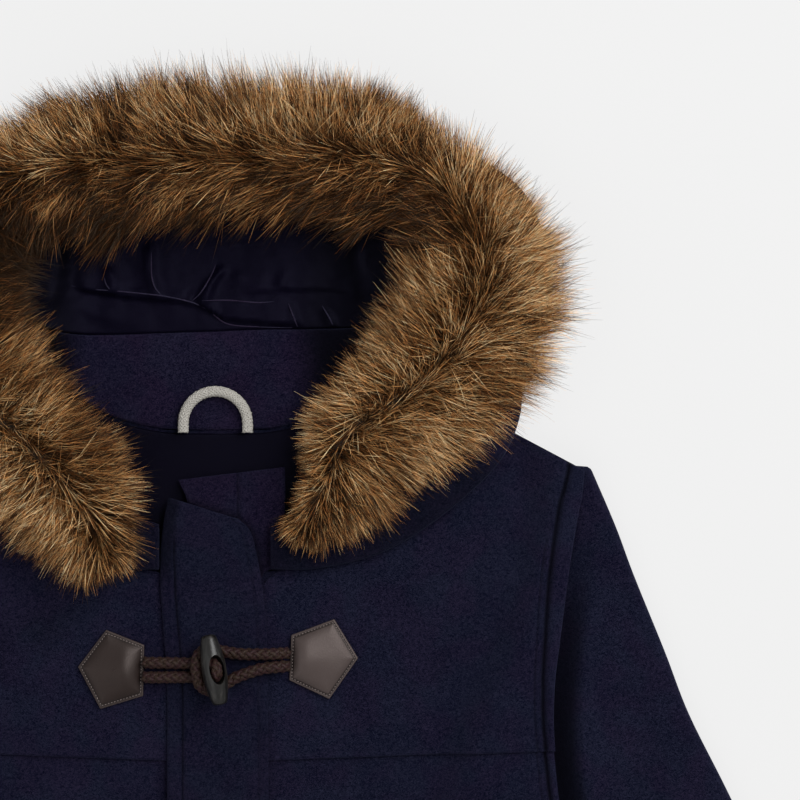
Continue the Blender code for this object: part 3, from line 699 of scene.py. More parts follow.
# The yoke's lower edge lies on this row of the tables, and rises this far toward the side
YOKE_ROW = 9
YOKE_SLOPE = 5.5
YOKE_FOLDS = {
    "right": (((118.0, -57.0), (101.0, -122.0), -0.55, 9.0, 3.0),
              ((128.0, -60.0), (112.0, -120.0), 0.5, 10.0, 2.0),
              ((60.0, -66.0), (95.0, -80.0), -0.35, 10.0, 0.0),
              ((76.0, -118.0), (120.0, -132.0), 0.3, 12.0, 0.0)),
    "left": (((-116.0, -60.0), (-98.0, -118.0), -0.5, 11.0, -3.0),
             ((-50.0, -72.0), (-84.0, -92.0), -0.35, 10.0, 0.0),
             ((-70.0, -120.0), (-118.0, -130.0), 0.3, 12.0, 0.0)),
}
# Seam ditch and topstitch along the armhole: height, distance from the cloth's edge
ARMHOLE_DITCH = (
    (-190, 3.6), (-147, 3.8), (-115, 4.9), (-92, 6.5), (-70, 8), (-48, 8.6), (-30, 8.9),
    (-17, 7.5),
)
STITCH_BESIDE = 4.0
ARMHOLE_STITCH = tuple((y, distance + STITCH_BESIDE) for y, distance in ARMHOLE_DITCH)


def armhole_relief(y, to_side):
    """Seam allowance, ditch and topstitch along the armhole."""
    above = step((y + 215.0) / 30.0)
    place = reading(ARMHOLE_DITCH, y)
    ditch = groove(to_side, place, 1.9, 1.25)
    stitch = groove(to_side, place + STITCH_BESIDE, 0.75, 0.8) * step((-40.0 - y) / 15.0)
    across = np.clip(to_side / place, 0.0, 1.0)
    band = 0.75 * np.sqrt(np.maximum(0.0, 1.0 - (2.0 * across - 1.0) ** 2)) * (across < 1.0)
    return above * (ditch + stitch + band)


def cloth_waves(x, y, seed):
    """Slow unevenness of thick cloth that lies flat, and a little puckering."""
    return 0.26 * ripple(x, y, 150.0, seed) + 0.07 * ripple(x, y, 40.0, seed + 50)


def front_points(side, first_row, middle_edge=None):
    """Grid of a front or, cut off along the guard, of a yoke."""
    middle = list(FRONT_MIDDLE[first_row:])
    corner = len(FRONT_MIDDLE) - 6 - first_row
    if middle_edge is not None:
        for k in range(corner + 1):
            ax, ay = middle[k]
            bx, by = BODY_SIDE[first_row + k]
            share = (middle_edge - ax) / (bx - ax)
            middle[k] = (middle_edge, ay + (by - ay) * share)
    seams = [(1, ARMHOLE_DITCH), (1, ARMHOLE_STITCH)]
    grid = ruled_points(middle, BODY_SIDE[first_row:], 6, 42, corner, seams)
    return side * grid[0], *grid[1:]


def front_relief(x, y, to_side, seed):
    """Unevenness and armhole seam of a front or a yoke."""
    return cloth_waves(x, y, seed) * step(to_side / 30.0) + armhole_relief(y, to_side)


def make_front(name, side, guard_edge):
    """One front and the yoke that lies on it."""
    x, y, to_middle, to_side, low, high = front_points(side, 0)
    relief = front_relief(x, y, to_side, 11 if side > 0 else 12)
    front = cloth_shell(f"front_{name}_cloth", x, y, front_base(x, y), WOOL,
                        nearest_rim(to_middle, to_side, low, high),
                        np.where(y > YOKE_SEAM_Y - 2.0, np.minimum(relief, 0.0), relief))
    finish_piece(front, WOOL_CLOTH, "wool", f"front_{name}")

    x, y, to_middle, to_side, low, high = front_points(side, YOKE_ROW, guard_edge)
    y = y + YOKE_SLOPE * np.clip(np.abs(x) / 151.0, 0.0, 1.0) * step((-110.0 - y) / 37.0)
    relief = front_relief(x, y, to_side, 21 if side > 0 else 22)
    relief += soft_folds(YOKE_FOLDS[name], x, y) + groove(low, 2.6, 0.25, 0.7)
    sunk = 0.75 * np.minimum(armhole_relief(y, to_side), 0.0)
    # Painted shade darkens the yoke's seam ditches
    yoke = cloth_shell(f"yoke_{name}_cloth", x, y, yoke_base(x, y) + sunk, YOKE_WALL,
                       nearest_rim(to_side, low, high, to_middle), relief - sunk,
                       0.8 * np.clip((-relief - 0.35) / 0.9, 0.0, 1.0))
    finish_piece(yoke, WOOL_CLOTH, "wool", f"yoke_{name}")


# Seams of the guard and the placket: height, distance from the strip's edge
GUARD_SEAM_1 = ((-566.0, 12.0), (-80.0, 12.0), (-57.0, 19.2), (-34.0, 21.2), (-15.0, 21.2))
GUARD_SEAM_2 = ((-566.0, 8.0), (-80.0, 8.0), (-57.0, 15.2), (-34.0, 17.2), (-15.0, 17.2))
PLACKET_SEAM = ((-569.0, 6.9), (-100.0, 6.9), (-60.0, 6.4), (-29.0, 4.4))
PLACKET_STITCH = ((-569.0, 4.6), (-29.0, 4.6))


def strip_points(left, right, columns, seams):
    """A strip down the front; both edges smooth, its rows from hem to top."""
    return ruled_points(left, right, 10, columns, None, seams)


def make_placket():
    """The inner guard with its two seams, and the placket on top of it."""
    x, y, to_left, to_right, low, high = strip_points(
        GUARD_LEFT, GUARD_RIGHT, 16, [(1, GUARD_SEAM_1), (1, GUARD_SEAM_2)])
    beyond = np.minimum(x - along(PLACKET_RIGHT, y), 30.0)
    above = y + 29.0 + 0.308 * (x + 20.7)
    beside = np.where(y < -38.6, beyond, np.maximum(above, 0.0) + np.maximum(x - 10.5, 0.0))
    shadow = 0.10 + 0.5 * np.exp(-(np.maximum(beside, 0.0) / 2.4) ** 2)
    relief = (groove(to_right, reading(GUARD_SEAM_1, y), 1.0, 0.8)
              + groove(to_right, reading(GUARD_SEAM_2, y), 0.4, 0.8)
              + 0.2 * ripple(x, y, 30.0, 33))
    guard = cloth_shell("guard_cloth", x, y, guard_base(x, y), YOKE_WALL,
                        nearest_rim(to_left, to_right, low, high), relief, shadow)
    finish_piece(guard, FACING_CLOTH, "wool", "inner_guard")

    x, y, to_left, to_right, low, high = strip_points(
        PLACKET_LEFT, PLACKET_RIGHT, 18, [(-1, PLACKET_SEAM), (1, PLACKET_STITCH)])
    relief = 0.16 * ripple(x, y, 34.0, 31) * step(nearest_rim(to_left, to_right) / 8.0)
    relief += groove(to_left, reading(PLACKET_SEAM, y), 1.15, 0.85) * step(
        (-36.0 - y) / 16.0)
    relief += groove(to_right, 4.6, 0.62, 0.8)
    # Painted shade: a little all over, and a dark band along the left edge near the top, in the
    # trim's shadow
    placket = cloth_shell("placket_cloth", x, y, placket_base(x, y), WOOL,
                          nearest_rim(to_left, to_right, low, high), relief,
                          0.14 + 0.5 * step((7.0 - to_left) / 3.0) * step((y + 74.0) / 20.0))
    finish_piece(placket, WOOL_CLOTH, "wool", "placket")


make_back()
make_front("right", 1.0, 20.6)
make_front("left", -1.0, 12.6)
make_placket()


# ------------------------------------------------------------------ sleeves
SLEEVE_FOLDS = (
    ((190, -120), (170, -190), -0.5, 8, 2),
    ((214, -150), (236, -222), 0.5, 12, -3),
    ((176, -230), (214, -250), -0.6, 10, 2),
    ((196, -262), (262, -276), 0.6, 11, 3),
    ((206, -330), (270, -318), -0.5, 11, -2),
    ((250, -352), (286, -392), 0.5, 12, 2),
)
# The sleeve dips under the body's edge and swells beside it: height, strength
DIP_STRENGTH = (
    (-260, 0), (-205, 0.6), (-150, 1), (-105, 0.95), (-85, 0.7), (-65, 0.15), (-45, -0.15),
    (-22, 0),
)
# Painted shade in the dip under the body's edge: height, strength
DIP_SHADE = (
    (-260, 0), (-205, 0.7), (-150, 0.9), (-112, 0.75), (-85, 0.55), (-65, 0.2), (-40, 0),
)
SLEEVE_DIP = 3.3
SLEEVE_SWELL = 4.2


def sleeve_section(half, rise):
    """Offsets across and up of the points round a flattened tube, for each row."""
    bend = np.minimum(0.7 * half, rise)
    flat = half - bend
    turns = [(math.cos(a), math.sin(a)) for a in np.radians(np.linspace(-90.0, 90.0, 9))]
    section = [(flat + bend * c, rise * s) for c, s in turns]
    section += [(-share * flat, rise) for share in np.linspace(-1.0, 1.0, 30)[1:-1]]
    section += [(-flat - bend * c, -rise * s) for c, s in turns]
    section += [(share * flat, -rise) for share in np.linspace(-1.0, 1.0, 10)[1:-1]]
    outs, ups = zip(*section)
    return np.array(outs).T, np.array(ups).T


def sleeve_relief(x, y):
    """Folds, with the dip and the swell beside the body's edge, and the dip's shade."""
    beside = x - along(BODY_SIDE, y)
    strength = reading(DIP_STRENGTH, y)
    folds = soft_folds(SLEEVE_FOLDS, x, y) + 0.35 * ripple(x, y, 120.0, 41)
    folds = folds - SLEEVE_DIP * strength * np.exp(-((beside + 0.5) / 4.2) ** 2)
    swell = np.where(beside < 10.5, np.exp(-((beside - 10.5) / 5.0) ** 2),
                     np.exp(-((beside - 10.5) / 17.0) ** 2))
    return (folds + SLEEVE_SWELL * strength * swell,
            reading(DIP_SHADE, y) * step((14.0 - beside) / 7.0))


def make_sleeve(name, side):
    """An open flattened tube, its wall turned in and stitched at the cuff."""
    t = np.unique(np.concatenate([np.linspace(0, 10, 71), np.linspace(0, 0.1, 4),
                                  np.linspace(9.9, 10, 9)]))
    inner, outer = spline(SLEEVE_INNER, t), spline(SLEEVE_OUTER, t)
    full = np.linalg.norm(outer - inner, axis=1)
    across = (outer - inner) / full[:, None]
    centre = (inner + outer) / 2
    lengths = run_lengths(centre)
    to_cuff = lengths[-1] - lengths
    turned = rolled(np.minimum(lengths, to_cuff), WOOL)
    hem = groove(to_cuff, 30.0, 0.3, 0.7)[:, None]
    layers, painted_shades = [], []
    for wall, cut, share, shaded in ((0.0, turned, 1.0, 1.0), (WOOL, -turned, 0.8, 0.0)):
        inset = wall + cut
        outs, ups = sleeve_section(full / 2 - inset, SLEEVE_HEIGHT / 2 - inset)
        x = centre[:, :1] + across[:, :1] * outs
        y = centre[:, 1:] + across[:, 1:] * outs
        top = step(ups / (0.6 * SLEEVE_HEIGHT / 2))
        folds, shade = sleeve_relief(x, y)
        painted_shades.append(shade * top * shaded)
        z = SLEEVE_HEIGHT / 2 + ups + top * (folds + hem) * share
        layers.append(np.stack([side * x, y, np.maximum(z, 0.0)], axis=-1))
    rows, count = layers[0].shape[:2]
    wrap = np.arange(count)
    following = np.roll(wrap, -1)
    faces = (ring_faces(rows, count, 0, side < 0)
             + ring_faces(rows, count, rows * count, side > 0))
    for i in (0, rows - 1):
        a, b = i * count, (rows + i) * count
        quads = np.stack([a + wrap, b + wrap, b + following, a + following], axis=1)
        faces += (quads[:, ::-1] if (i > 0) != (side < 0) else quads).tolist()
    sleeve = new_object(f"{name}_cloth", np.concatenate(layers).reshape(-1, 3), faces)
    set_attribute(sleeve.data, "painted_shade", "FLOAT", np.concatenate(painted_shades).ravel())
    finish_piece(sleeve, WOOL_CLOTH, "wool", name)


make_sleeve("sleeve_right", 1.0)
make_sleeve("sleeve_left", -1.0)


# ------------------------------------------------------------------ hood
HOOD_BACK_LOW = ((0.0, 0.8), (26.0, 1.8), (50.0, 8.8), (70.0, 20.9), (84.0, 31.0), (92.0, 47.0))
HOOD_BACK_HIGH = (
    (0, 112.4), (20, 111.4), (42, 107.4), (65.6, 99.5), (83.4, 87.4), (89, 72),
)
# Hood side, front corner to crown: edge sewn to the neck or the hood back, outer fold,
# edge under the trim, heights of the lower and of the upper layer
HOOD_SIDE = np.array((
    (24.8, -43.0, 24.8, -59.5, 24.8, -41.0, 11.0, 14.0),
    (40.0, -40.0, 46.0, -59.0, 38.0, -36.0, 11.0, 14.0),
    (58.0, -30.0, 74.0, -52.0, 54.0, -24.0, 11.0, 14.4),
    (69.0, -14.0, 100.0, -36.0, 66.0, -6.0, 11.0, 15.0),
    (77.0, 4.0, 124.0, -14.0, 78.0, 10.0, 11.0, 15.6),
    (80.0, 20.0, 133.5, 6.0, 90.0, 28.0, 11.0, 16.2),
    (84.0, 36.0, 136.5, 30.0, 102.0, 46.0, 10.4, 16.8),
    (89.0, 54.0, 147.0, 56.0, 108.0, 64.0, 5.0, 17.2),
    (90.0, 73.0, 146.0, 82.0, 104.0, 86.0, 0.4, 17.6),
    (84.4, 88.0, 134.0, 108.0, 90.0, 101.0, 0.0, 18.0),
    (66.4, 100.2, 106.0, 125.0, 68.0, 112.0, 0.0, 18.0),
    (42.4, 108.2, 70.0, 138.0, 44.0, 122.0, 0.0, 18.0),
    (20.4, 112.2, 34.0, 142.0, 22.0, 126.0, 0.0, 18.0),
    (0.0, 113.2, 0.0, 143.0, 0.0, 127.0, 0.0, 18.0),
))
LINING_LOW = ((0.0, 45.5), (22.0, 45.9), (44.0, 46.1), (62.0, 46.7), (76.0, 49.5), (83.5, 57.0))
LINING_HIGH = (
    (0, 122), (24, 120), (48, 114), (72, 104), (91, 94), (100, 85),
)
FACING_LOW = ((0.0, 1.0), (24.0, 1.8), (46.0, 7.0), (62.0, 16.0), (71.0, 26.0))
FACING_HIGH = ((0.0, 45.2), (22.0, 45.6), (44.0, 45.8), (60.0, 46.2), (72.0, 47.6))
# Lining folds that hang over: line from left to right, height, how far it falls off above
LINING_LIPS = (
    (((-64.0, 65.0), (-50.0, 62.5), (-37.7, 60.8), (-15.5, 58.6), (-6.7, 56.4), (3.6, 50.6),
      (27.5, 47.8), (36.0, 47.6)), 3.4, 16.0),
    (((12.0, 61.0), (20.0, 62.2), (36.0, 63.4), (54.0, 63.0), (62.0, 61.0)), 1.1, 12.0),
    (((-22.0, 88.0), (0.0, 84.0), (26.0, 86.0)), 0.9, 14.0),
)
# Sharp creases of the lining: start, end, height, half width, bend
LINING_CREASES = (
    ((-29, 84), (-25.5, 60), 2.6, 1.9, 2),
    ((-48, 73), (-46.5, 63), 1.8, 2.2, -1),
    ((-1, 72), (-10.6, 57.5), -2.6, 2.1, 1.5),
    ((3.6, 73), (-5.4, 58), 2.4, 2.6, 1.5),
    ((31, 71), (29.5, 64), 1, 1.9, 0.5),
    ((33.6, 57), (36, 47.5), 1.7, 1.6, 0.5),
    ((48.5, 54), (51.5, 46.5), 1.7, 1.8, -0.5),
    ((-58, 56), (-30, 50), 0.9, 3.4, 1),
    ((-12, 53), (-22, 49), -0.7, 3, 0),
    ((8, 70), (22, 66), 1.2, 5, 1),
    ((-40, 78), (-34, 64), -1.2, 3.4, 0),
    ((-18, 80), (-17, 63), -1, 3.6, -1),
    ((62, 84), (70, 56), 1.8, 4, 2),
    ((-70, 86), (-74, 58), 1.6, 4, -2),
)


def lining_base(x, y):
    """Height of the lining's underside: bowl, hanging lips and creases."""
    sides = step((np.abs(x) - 50.0) / 34.0)
    top = 0.35 * step((y - 80.0) / 40.0)
    height = WOOL + SEAM + 8.8 * np.maximum(sides, top)
    for line, rise, reach in LINING_LIPS:
        above = y - reading(line, x)
        ends = step((x - line[0][0]) / 7.0) * step((line[-1][0] - x) / 7.0)
        height = height + rise * ends * step((above + 0.7) / 1.4) * np.exp(
            -np.maximum(above, 0.0) / reach)
    creases = soft_folds(LINING_CREASES, x, y)
    return height + np.maximum(creases, 0.0) + np.minimum(creases, 0.0) * step(
        (height - WOOL - SEAM - 0.4) / 3.0)


def border_shift(x, to_border):
    """The border between lining and facing sags a little toward the left."""
    return -3.0 * step((24.0 - x) / 90.0) * np.exp(-to_border / 16.0)


def hood_shade_share(x, y):
    """How much painted shade a point gets, by how deep inside the hood's sides it lies, 0 to 1."""
    right = step((x - 27.0 - 0.10 * np.abs(y - 50.0)) / 22.0)
    left = step((-x - 55.0) / 16.0)
    return 0.92 * np.maximum(right, left) + 0.35 * step((y - 62.0) / 30.0) * step(
        (np.abs(x - 5.0) - 30.0) / 30.0)


# Painted highlights: lines where the crests of the lining's tucks and its border catch light, as
# thin pale tubes on the cloth
LINING_HIGHLIGHT_LINES = (
    ((-64.0, 65.0), (-55.0, 63.5), (-41.0, 62.4), (-23.0, 60.4), (-11.0, 57.8), (-3.5, 54.4),
     (5.0, 48.2), (19.0, 46.8), (34.0, 46.4)),
    ((-28.5, 80.0), (-28.4, 70.0), (-26.8, 64.2), (-24.0, 60.8)),
    ((0.0, 74.5), (-2.3, 69.0), (-6.3, 62.4), (-10.4, 58.4)),
    ((32.4, 57.2), (34.8, 51.0), (36.4, 46.8)),
    ((47.4, 56.2), (50.4, 51.2), (52.2, 47.6)),
    ((-50.0, 72.0), (-48.8, 66.0), (-46.4, 62.8)),
    ((-6.0, 58.4), (6.0, 58.6), (18.0, 57.6), (26.0, 58.0)),
)


def make_tuck_highlights(name, lines, thick):
    """Painted highlights: thin pale tubes along lines on the lining, where its tucks catch light.
    """
    points, faces = [], []
    for line in lines:
        t = np.linspace(0.0, len(line) - 1.0, 10 * len(line))
        x, y = spline(np.array(line), t).T
        width = thick * np.sin(math.pi * np.clip(t / t[-1], 0.02, 0.98)) ** 0.5
        height = lining_base(x, y) + LINING_WALL + 0.3 + 0.3 * width
        route = np.stack([x, y, height], axis=1)
        _, side_a, side_b = path_frames(route)
        reach = width[:, None, None]
        tube, sides = tube_parts(route, side_a, side_b, reach, reach, 6)
        start = sum(len(group) for group in points)
        points.append(tube)
        faces += [[k + start for k in face] for face in sides]
    edges = new_object(name, np.concatenate(points), faces)
    finish_piece(edges, TUCK_HIGHLIGHT, "lining")


def make_hood_inside():
    """The lining of the hood, painted highlights along its tucks, and the facing round the neck."""
    x, y, to_low, to_high, to_end = mirrored_points(LINING_LOW, LINING_HIGH, 13, 54)
    puckers = 0.28 * ripple(x, y, 22.0, 61) + 0.12 * ripple(x, y, 9.0, 62)
    base = lining_base(x, y) + puckers * step(to_low / 5.0) + 0.3
    # Painted shade deep inside the hood's sides
    painted_shade = hood_shade_share(x, y)
    y = y + border_shift(x, to_low)
    lining = cloth_shell("lining_cloth", x, y, base, LINING_WALL,
                         nearest_rim(to_low, to_high, to_end), 0.0, painted_shade)
    finish_piece(lining, LINING_CLOTH, "lining", "hood_lining")
    make_tuck_highlights("lining_tuck_highlights", LINING_HIGHLIGHT_LINES, 0.33)

    x, y, to_low, to_high, to_end = mirrored_points(FACING_LOW, FACING_HIGH, 7, 20)
    base = WOOL + SEAM + 5.0 * step((np.abs(x) - 45.0) / 30.0)
    relief = 0.2 * ripple(x, y, 70.0, 63) * step(to_low / 8.0)
    # Painted shade deep inside the hood's sides
    painted_shade = hood_shade_share(x, y)
    y = y + border_shift(x, to_high)
    facing = cloth_shell("facing_cloth", x, y, base, WOOL, nearest_rim(to_low, to_high, to_end),
                         relief, painted_shade)
    finish_piece(facing, FACING_CLOTH, "wool", "neck_facing")


def make_hood_back():
    """The hood's back panel, flat on the floor."""
    x, y, to_low, to_high, to_end = mirrored_points(HOOD_BACK_LOW, HOOD_BACK_HIGH, 4, 14)
    back = cloth_shell("hood_back_cloth", x, y, 0.0 * x, WOOL,
                       nearest_rim(to_low, to_high, to_end))
    finish_piece(back, WOOL_CLOTH, "wool", "hood_back")


def make_hood_side(name, side):
    """Cloth folded round the side of the hood: under layer, outer fold, upper layer."""
    t = np.linspace(0.0, len(HOOD_SIDE) - 1.0, 79)
    pairs = [spline(HOOD_SIDE[:, k:k + 2], t) for k in (0, 2, 4)]
    inner, outer, rim = pairs
    low, high = [np.interp(t, range(len(HOOD_SIDE)), HOOD_SIDE[:, k]) for k in (6, 7)]
    away = (outer - inner) / np.linalg.norm(outer - inner, axis=1)[:, None]
    under_share = np.concatenate([[0.0, 0.02, 0.06], np.linspace(0.14, 1.0, 11)])
    upper_share = np.concatenate([np.linspace(0.0, 0.86, 11)[1:], [0.94, 0.98, 1.0]])
    layers = []
    for depth in (0.0, WOOL):
        places, heights = [], []
        turned_in = outer - away * depth
        floor, roof = low + depth, high + WOOL - depth
        middle, half = (floor + roof) / 2, (roof - floor) / 2
        for share in under_share:
            places.append(inner + (turned_in - inner) * share)
            heights.append(floor)
        bulge = 1.5 if depth == 0.0 else 0.6
        for angle in np.radians(np.linspace(-72.0, 72.0, 9)):
            places.append(turned_in + away * bulge * math.cos(angle))
            heights.append(middle + half * math.sin(angle))
        for share in upper_share:
            places.append(turned_in + (rim - turned_in) * share)
            heights.append(roof)
        places, heights = np.array(places), np.array(heights)
        layers.append(np.dstack([side * places[..., 0], places[..., 1], heights]))
    outside, inside = layers
    ring = np.concatenate([outside, inside[::-1]]).transpose(1, 0, 2)
    rows, count = ring.shape[:2]
    wave = 0.3 * ripple(ring[..., 0], ring[..., 1], 60.0, 71)
    ring[..., 2] = np.maximum(ring[..., 2] + wave * (ring[..., 2] > 12.0), 0.0)
    faces = ring_faces(rows, count, 0, side > 0)
    half = count // 2
    for start, flip in ((0, side < 0), ((rows - 1) * count, side > 0)):
        for k in range(half - 1):
            quad = (start + k, start + k + 1, start + count - 2 - k, start + count - 1 - k)
            faces.append(quad[::-1] if flip else quad)
    made = new_object(f"{name}_cloth", ring.reshape(-1, 3), faces)
    # Painted shade on the strip that lies under the trim's edge
    set_attribute(made.data, "painted_shade", "FLOAT", 0.5 * step((-2.0 - ring[..., 1]) / 18.0))
    finish_piece(made, WOOL_CLOTH, "wool", name)


make_hood_back()
make_hood_inside()
make_hood_side("hood_side_right", 1.0)
make_hood_side("hood_side_left", -1.0)


# ------------------------------------------------------------------ fur trim
# From the right lower end round the crown to the left one. Columns: parting (x, y), reach
# outward and inward, comb directions outward and inward in degrees, hair length, and
# how light the hair is outward and inward: the fur's own tone together with painted light
# and shade, darker where the trim lies in shade and paler where it is lit
FUR_LINE = np.array((
    (39, -46, 6, 6, -90, 240, 8, 0.20, 0.20),
    (43, -36, 18, 10, -75, 215, 15, 0.20, 0.15),
    (51, -19, 36, 6, -50, 185, 24, 0.30, 0.35),
    (58, -2, 42, 18, -35, 175, 27, 0.45, 0.50),
    (88, 20, 43, 30, -15, 140, 28, 0.45, 0.45),
    (112, 47, 43, 48, 5, 125, 28, 0.50, 0.35),
    (120, 68, 39, 32, 28, 125, 28, 0.50, 0.15),
    (115, 89, 30, 31, 45, 140, 27, 0.55, 0.00),
    (99, 108, 23, 29, 110, 185, 25, 0.45, 0.10),
    (77, 120, 31, 44, 65, 195, 26, 0.35, 0.20),
    (52, 124, 35, 28, 90, 188, 28, 0.45, 0.15),
    (16, 120, 42, 22, 125, 200, 28, 0.40, 0.15),
    (-20, 118, 45, 29, 115, 210, 27, 0.35, 0.15),
    (-42, 118, 42, 42, 118, 218, 26, 0.25, 0.12),
    (-69, 117, 29, 33, 143, 225, 25, 0.40, 0.10),
    (-100, 105, 29, 41, 140, 280, 26, 0.45, -0.20),
    (-117, 81, 39, 42, 160, 350, 28, 0.40, -0.30),
    (-120, 50, 40, 42, 185, 390, 28, 0.40, 0.05),
    (-105, 20, 34, 41, 200, 405, 27, 0.45, 0.30),
    (-81, -7, 38, 32, 205, 385, 27, 0.45, 0.30),
    (-66, -22, 40, 30, 210, 365, 27, 0.50, 0.35),
    (-52, -41, 29, 17, 230, 345, 26, 0.45, 0.30),
    (-46, -58, 12, 6, 270, 280, 10, 0.30, 0.25),
))
LAST_STATION = len(FUR_LINE) - 1.0
# Valleys where the trim buckles: station, side, depth, width in stations
FUR_VALLEYS = (
    (12.7, 1, 4, 0.45), (13, -1, 5, 0.7), (8.3, -1, 6, 0.8), (8.6, 1, 2.5, 0.5), (2, -1, 2, 0.6),
    (15, -1, 4, 0.8),
)
# Base height along the trim: station, height
FUR_BASE = (
    (0, 17.6), (3, 18.4), (5, 19.8), (7, 20.9), (15.5, 20.9), (17.5, 19.8), (20, 18.2), (22, 17.4),
)
PELT_RISE = 12.5
HAIR_SPREAD = 0.95
HAIRS_PER_AREA = 3.8e6
# The share of long dark-tipped guard hairs
GUARD_SHARE = 0.19
# The lowest and the highest place that a hair can reach, in metres
HAIR_LOWEST = 0.0004
HAIR_HIGHEST = 0.0585
PELT_BORDERS = (0.0, 4.2, 7.0, 9.2, 11.6, 13.8, 16.2, 18.8, 22.0)


def fur_stations(t):
    """Line, outward direction, pelt half widths and comb angles at stations t."""
    columns = range(len(FUR_LINE))
    line = spline(FUR_LINE[:, :2], t)
    ahead = spline(FUR_LINE[:, :2], np.minimum(t + 0.3, columns[-1]))
    behind = spline(FUR_LINE[:, :2], np.maximum(t - 0.3, 0.0))
    tangent = (ahead - behind) / np.linalg.norm(ahead - behind, axis=1)[:, None]
    outward = np.stack([tangent[:, 1], -tangent[:, 0]], axis=1)
    rest = [np.interp(t, columns, FUR_LINE[:, k]) for k in range(2, 9)]
    return line, outward, *rest


def fur_surface(t, share):
    """Points of the pelt at stations t (rows) and shares -1 (inner) to 1 (outer) across."""
    line, outward, reach_out, reach_in, comb_out, comb_in, length, tone_shade_out, tone_shade_in = (
        fur_stations(t))
    rows, columns = len(t), len(share)
    v = np.broadcast_to(share, (rows, columns))
    is_out = step((v + 0.22) / 0.44)
    size = np.broadcast_to(length[:, None], v.shape)
    facing_out = np.arctan2(outward[:, 1], outward[:, 0])
    lean_out = np.cos(np.radians(comb_out) - facing_out)
    lean_in = np.cos(np.radians(comb_in) - facing_out - math.pi)
    width_out = np.maximum(0.38 * reach_out, reach_out - HAIR_SPREAD * length * lean_out)
    width_in = np.maximum(0.38 * reach_in, reach_in - HAIR_SPREAD * length * lean_in)
    across = np.where(v > 0, v * width_out[:, None], v * width_in[:, None])
    x = line[:, :1] + outward[:, :1] * across
    y = line[:, 1:] + outward[:, 1:] * across
    base = reading(FUR_BASE, t)[:, None]
    ends = step((np.minimum(t, LAST_STATION - t) + 0.3) / 2.0)[:, None]
    dip = np.zeros_like(v)
    for station, side, depth, width in FUR_VALLEYS:
        near = np.exp(-((t[:, None] - station) / width) ** 2)
        dip = dip + depth * near * step((side * v + 0.25) / 0.5)
    rise = (PELT_RISE * (0.45 + 0.55 * ends) - dip) * (1.0 - np.abs(v) ** 2.3) ** 0.62
    rise = rise + 0.9 * ripple(x, y, 34.0, 91) * (1.0 - v ** 2)
    z = base + 1.0 + np.maximum(rise, 0.0)
    turn = 14.0 * (1.0 - np.abs(v))
    angle_out = np.radians(comb_out[:, None] + turn)
    angle_in = np.radians(comb_in[:, None])
    comb_x = is_out * np.cos(angle_out) + (1.0 - is_out) * np.cos(angle_in)
    comb_y = is_out * np.sin(angle_out) + (1.0 - is_out) * np.sin(angle_in)
    lift = np.tan(np.radians(6.0 + 30.0 * (1.0 - np.abs(v)) ** 1.2))
    upright = np.hypot(comb_x, comb_y)
    comb = np.stack([comb_x, comb_y, lift], axis=-1)
    comb /= np.linalg.norm(comb, axis=-1)[..., None]
    reach = is_out * reach_out[:, None] + (1.0 - is_out) * reach_in[:, None]
    lean = is_out * lean_out[:, None] + (1.0 - is_out) * lean_in[:, None]
    left = (reach - np.abs(across)) / HAIR_SPREAD / np.maximum(lean, 0.3)
    size = np.minimum(size, np.maximum(left, 0.55 * size)) * (1.0 - 0.03 * dip)
    size = size * (0.55 + 0.45 * upright)
    # Painted shade: the tone darkens in the trim's valleys and toward its inner edge past the right
    # side
    tone = is_out * tone_shade_out[:, None] + (1.0 - is_out) * tone_shade_in[:, None] - 0.04 * dip
    tone = tone - 0.26 * (1.0 - is_out) * np.abs(v) ** 3 * step((t - 4.5) / 1.5)[:, None]
    mess = 0.85 + 1.3 * np.exp(-(v / 0.3) ** 2)
    return x, y, z, comb, size, tone, mess


def close_tree(tree, geometry, finish, out):
    """Gives what the tree made its material and hands it over."""
    made = put(tree, "GeometryNodeSetMaterial", Geometry=geometry, Material=finish)
    tree.links.new(made.outputs["Geometry"], out.inputs[0])
    return tree


def vectors(tree, operation, *values, **more):
    """One step of arithmetic on vectors."""
    inputs = {f"_{number}": value for number, value in enumerate(values)}
    return put(tree, "ShaderNodeVectorMath", {"operation": operation}, **inputs,
               **more).outputs[0]


def scaled(tree, vector, amount):
    """A vector made longer or shorter."""
    return vectors(tree, "SCALE", vector, Scale=amount)


def keep(tree, geometry, label, value, kind="FLOAT"):
    """The geometry with a value written on each of its points."""
    return put(tree, "GeometryNodeStoreNamedAttribute", {"data_type": kind, "domain": "POINT"},
               Geometry=geometry, Name=label, Value=value).outputs["Geometry"]


def kept(tree, label, kind="FLOAT"):
    """What is written on the points under a name."""
    return put(tree, "GeometryNodeInputNamedAttribute", {"data_type": kind},
               Name=label).outputs["Attribute"]


def chance(tree, seed, number, low, high, identity=None, kind="FLOAT"):
    """A random value for each point, or one for each identity."""
    low_socket, high_socket, output = {"FLOAT_VECTOR": ("_0", "_1", 0),
                                       "FLOAT": ("_2", "_3", 1)}[kind]
    made = put(tree, "FunctionNodeRandomValue", {"data_type": kind},
               Seed=maths(tree, "ADD", seed, float(number)),
               **{low_socket: low, high_socket: high})
    if identity is not None:
        tree.links.new(identity, made.inputs["ID"])
    return made.outputs[output]


def scatter(tree, seed, number, amount, identity=None):
    """A random vector, up to an amount along each axis."""
    return scaled(tree, chance(tree, seed, number, (-1.0,) * 3, (1.0,) * 3, identity,
                               "FLOAT_VECTOR"), amount)


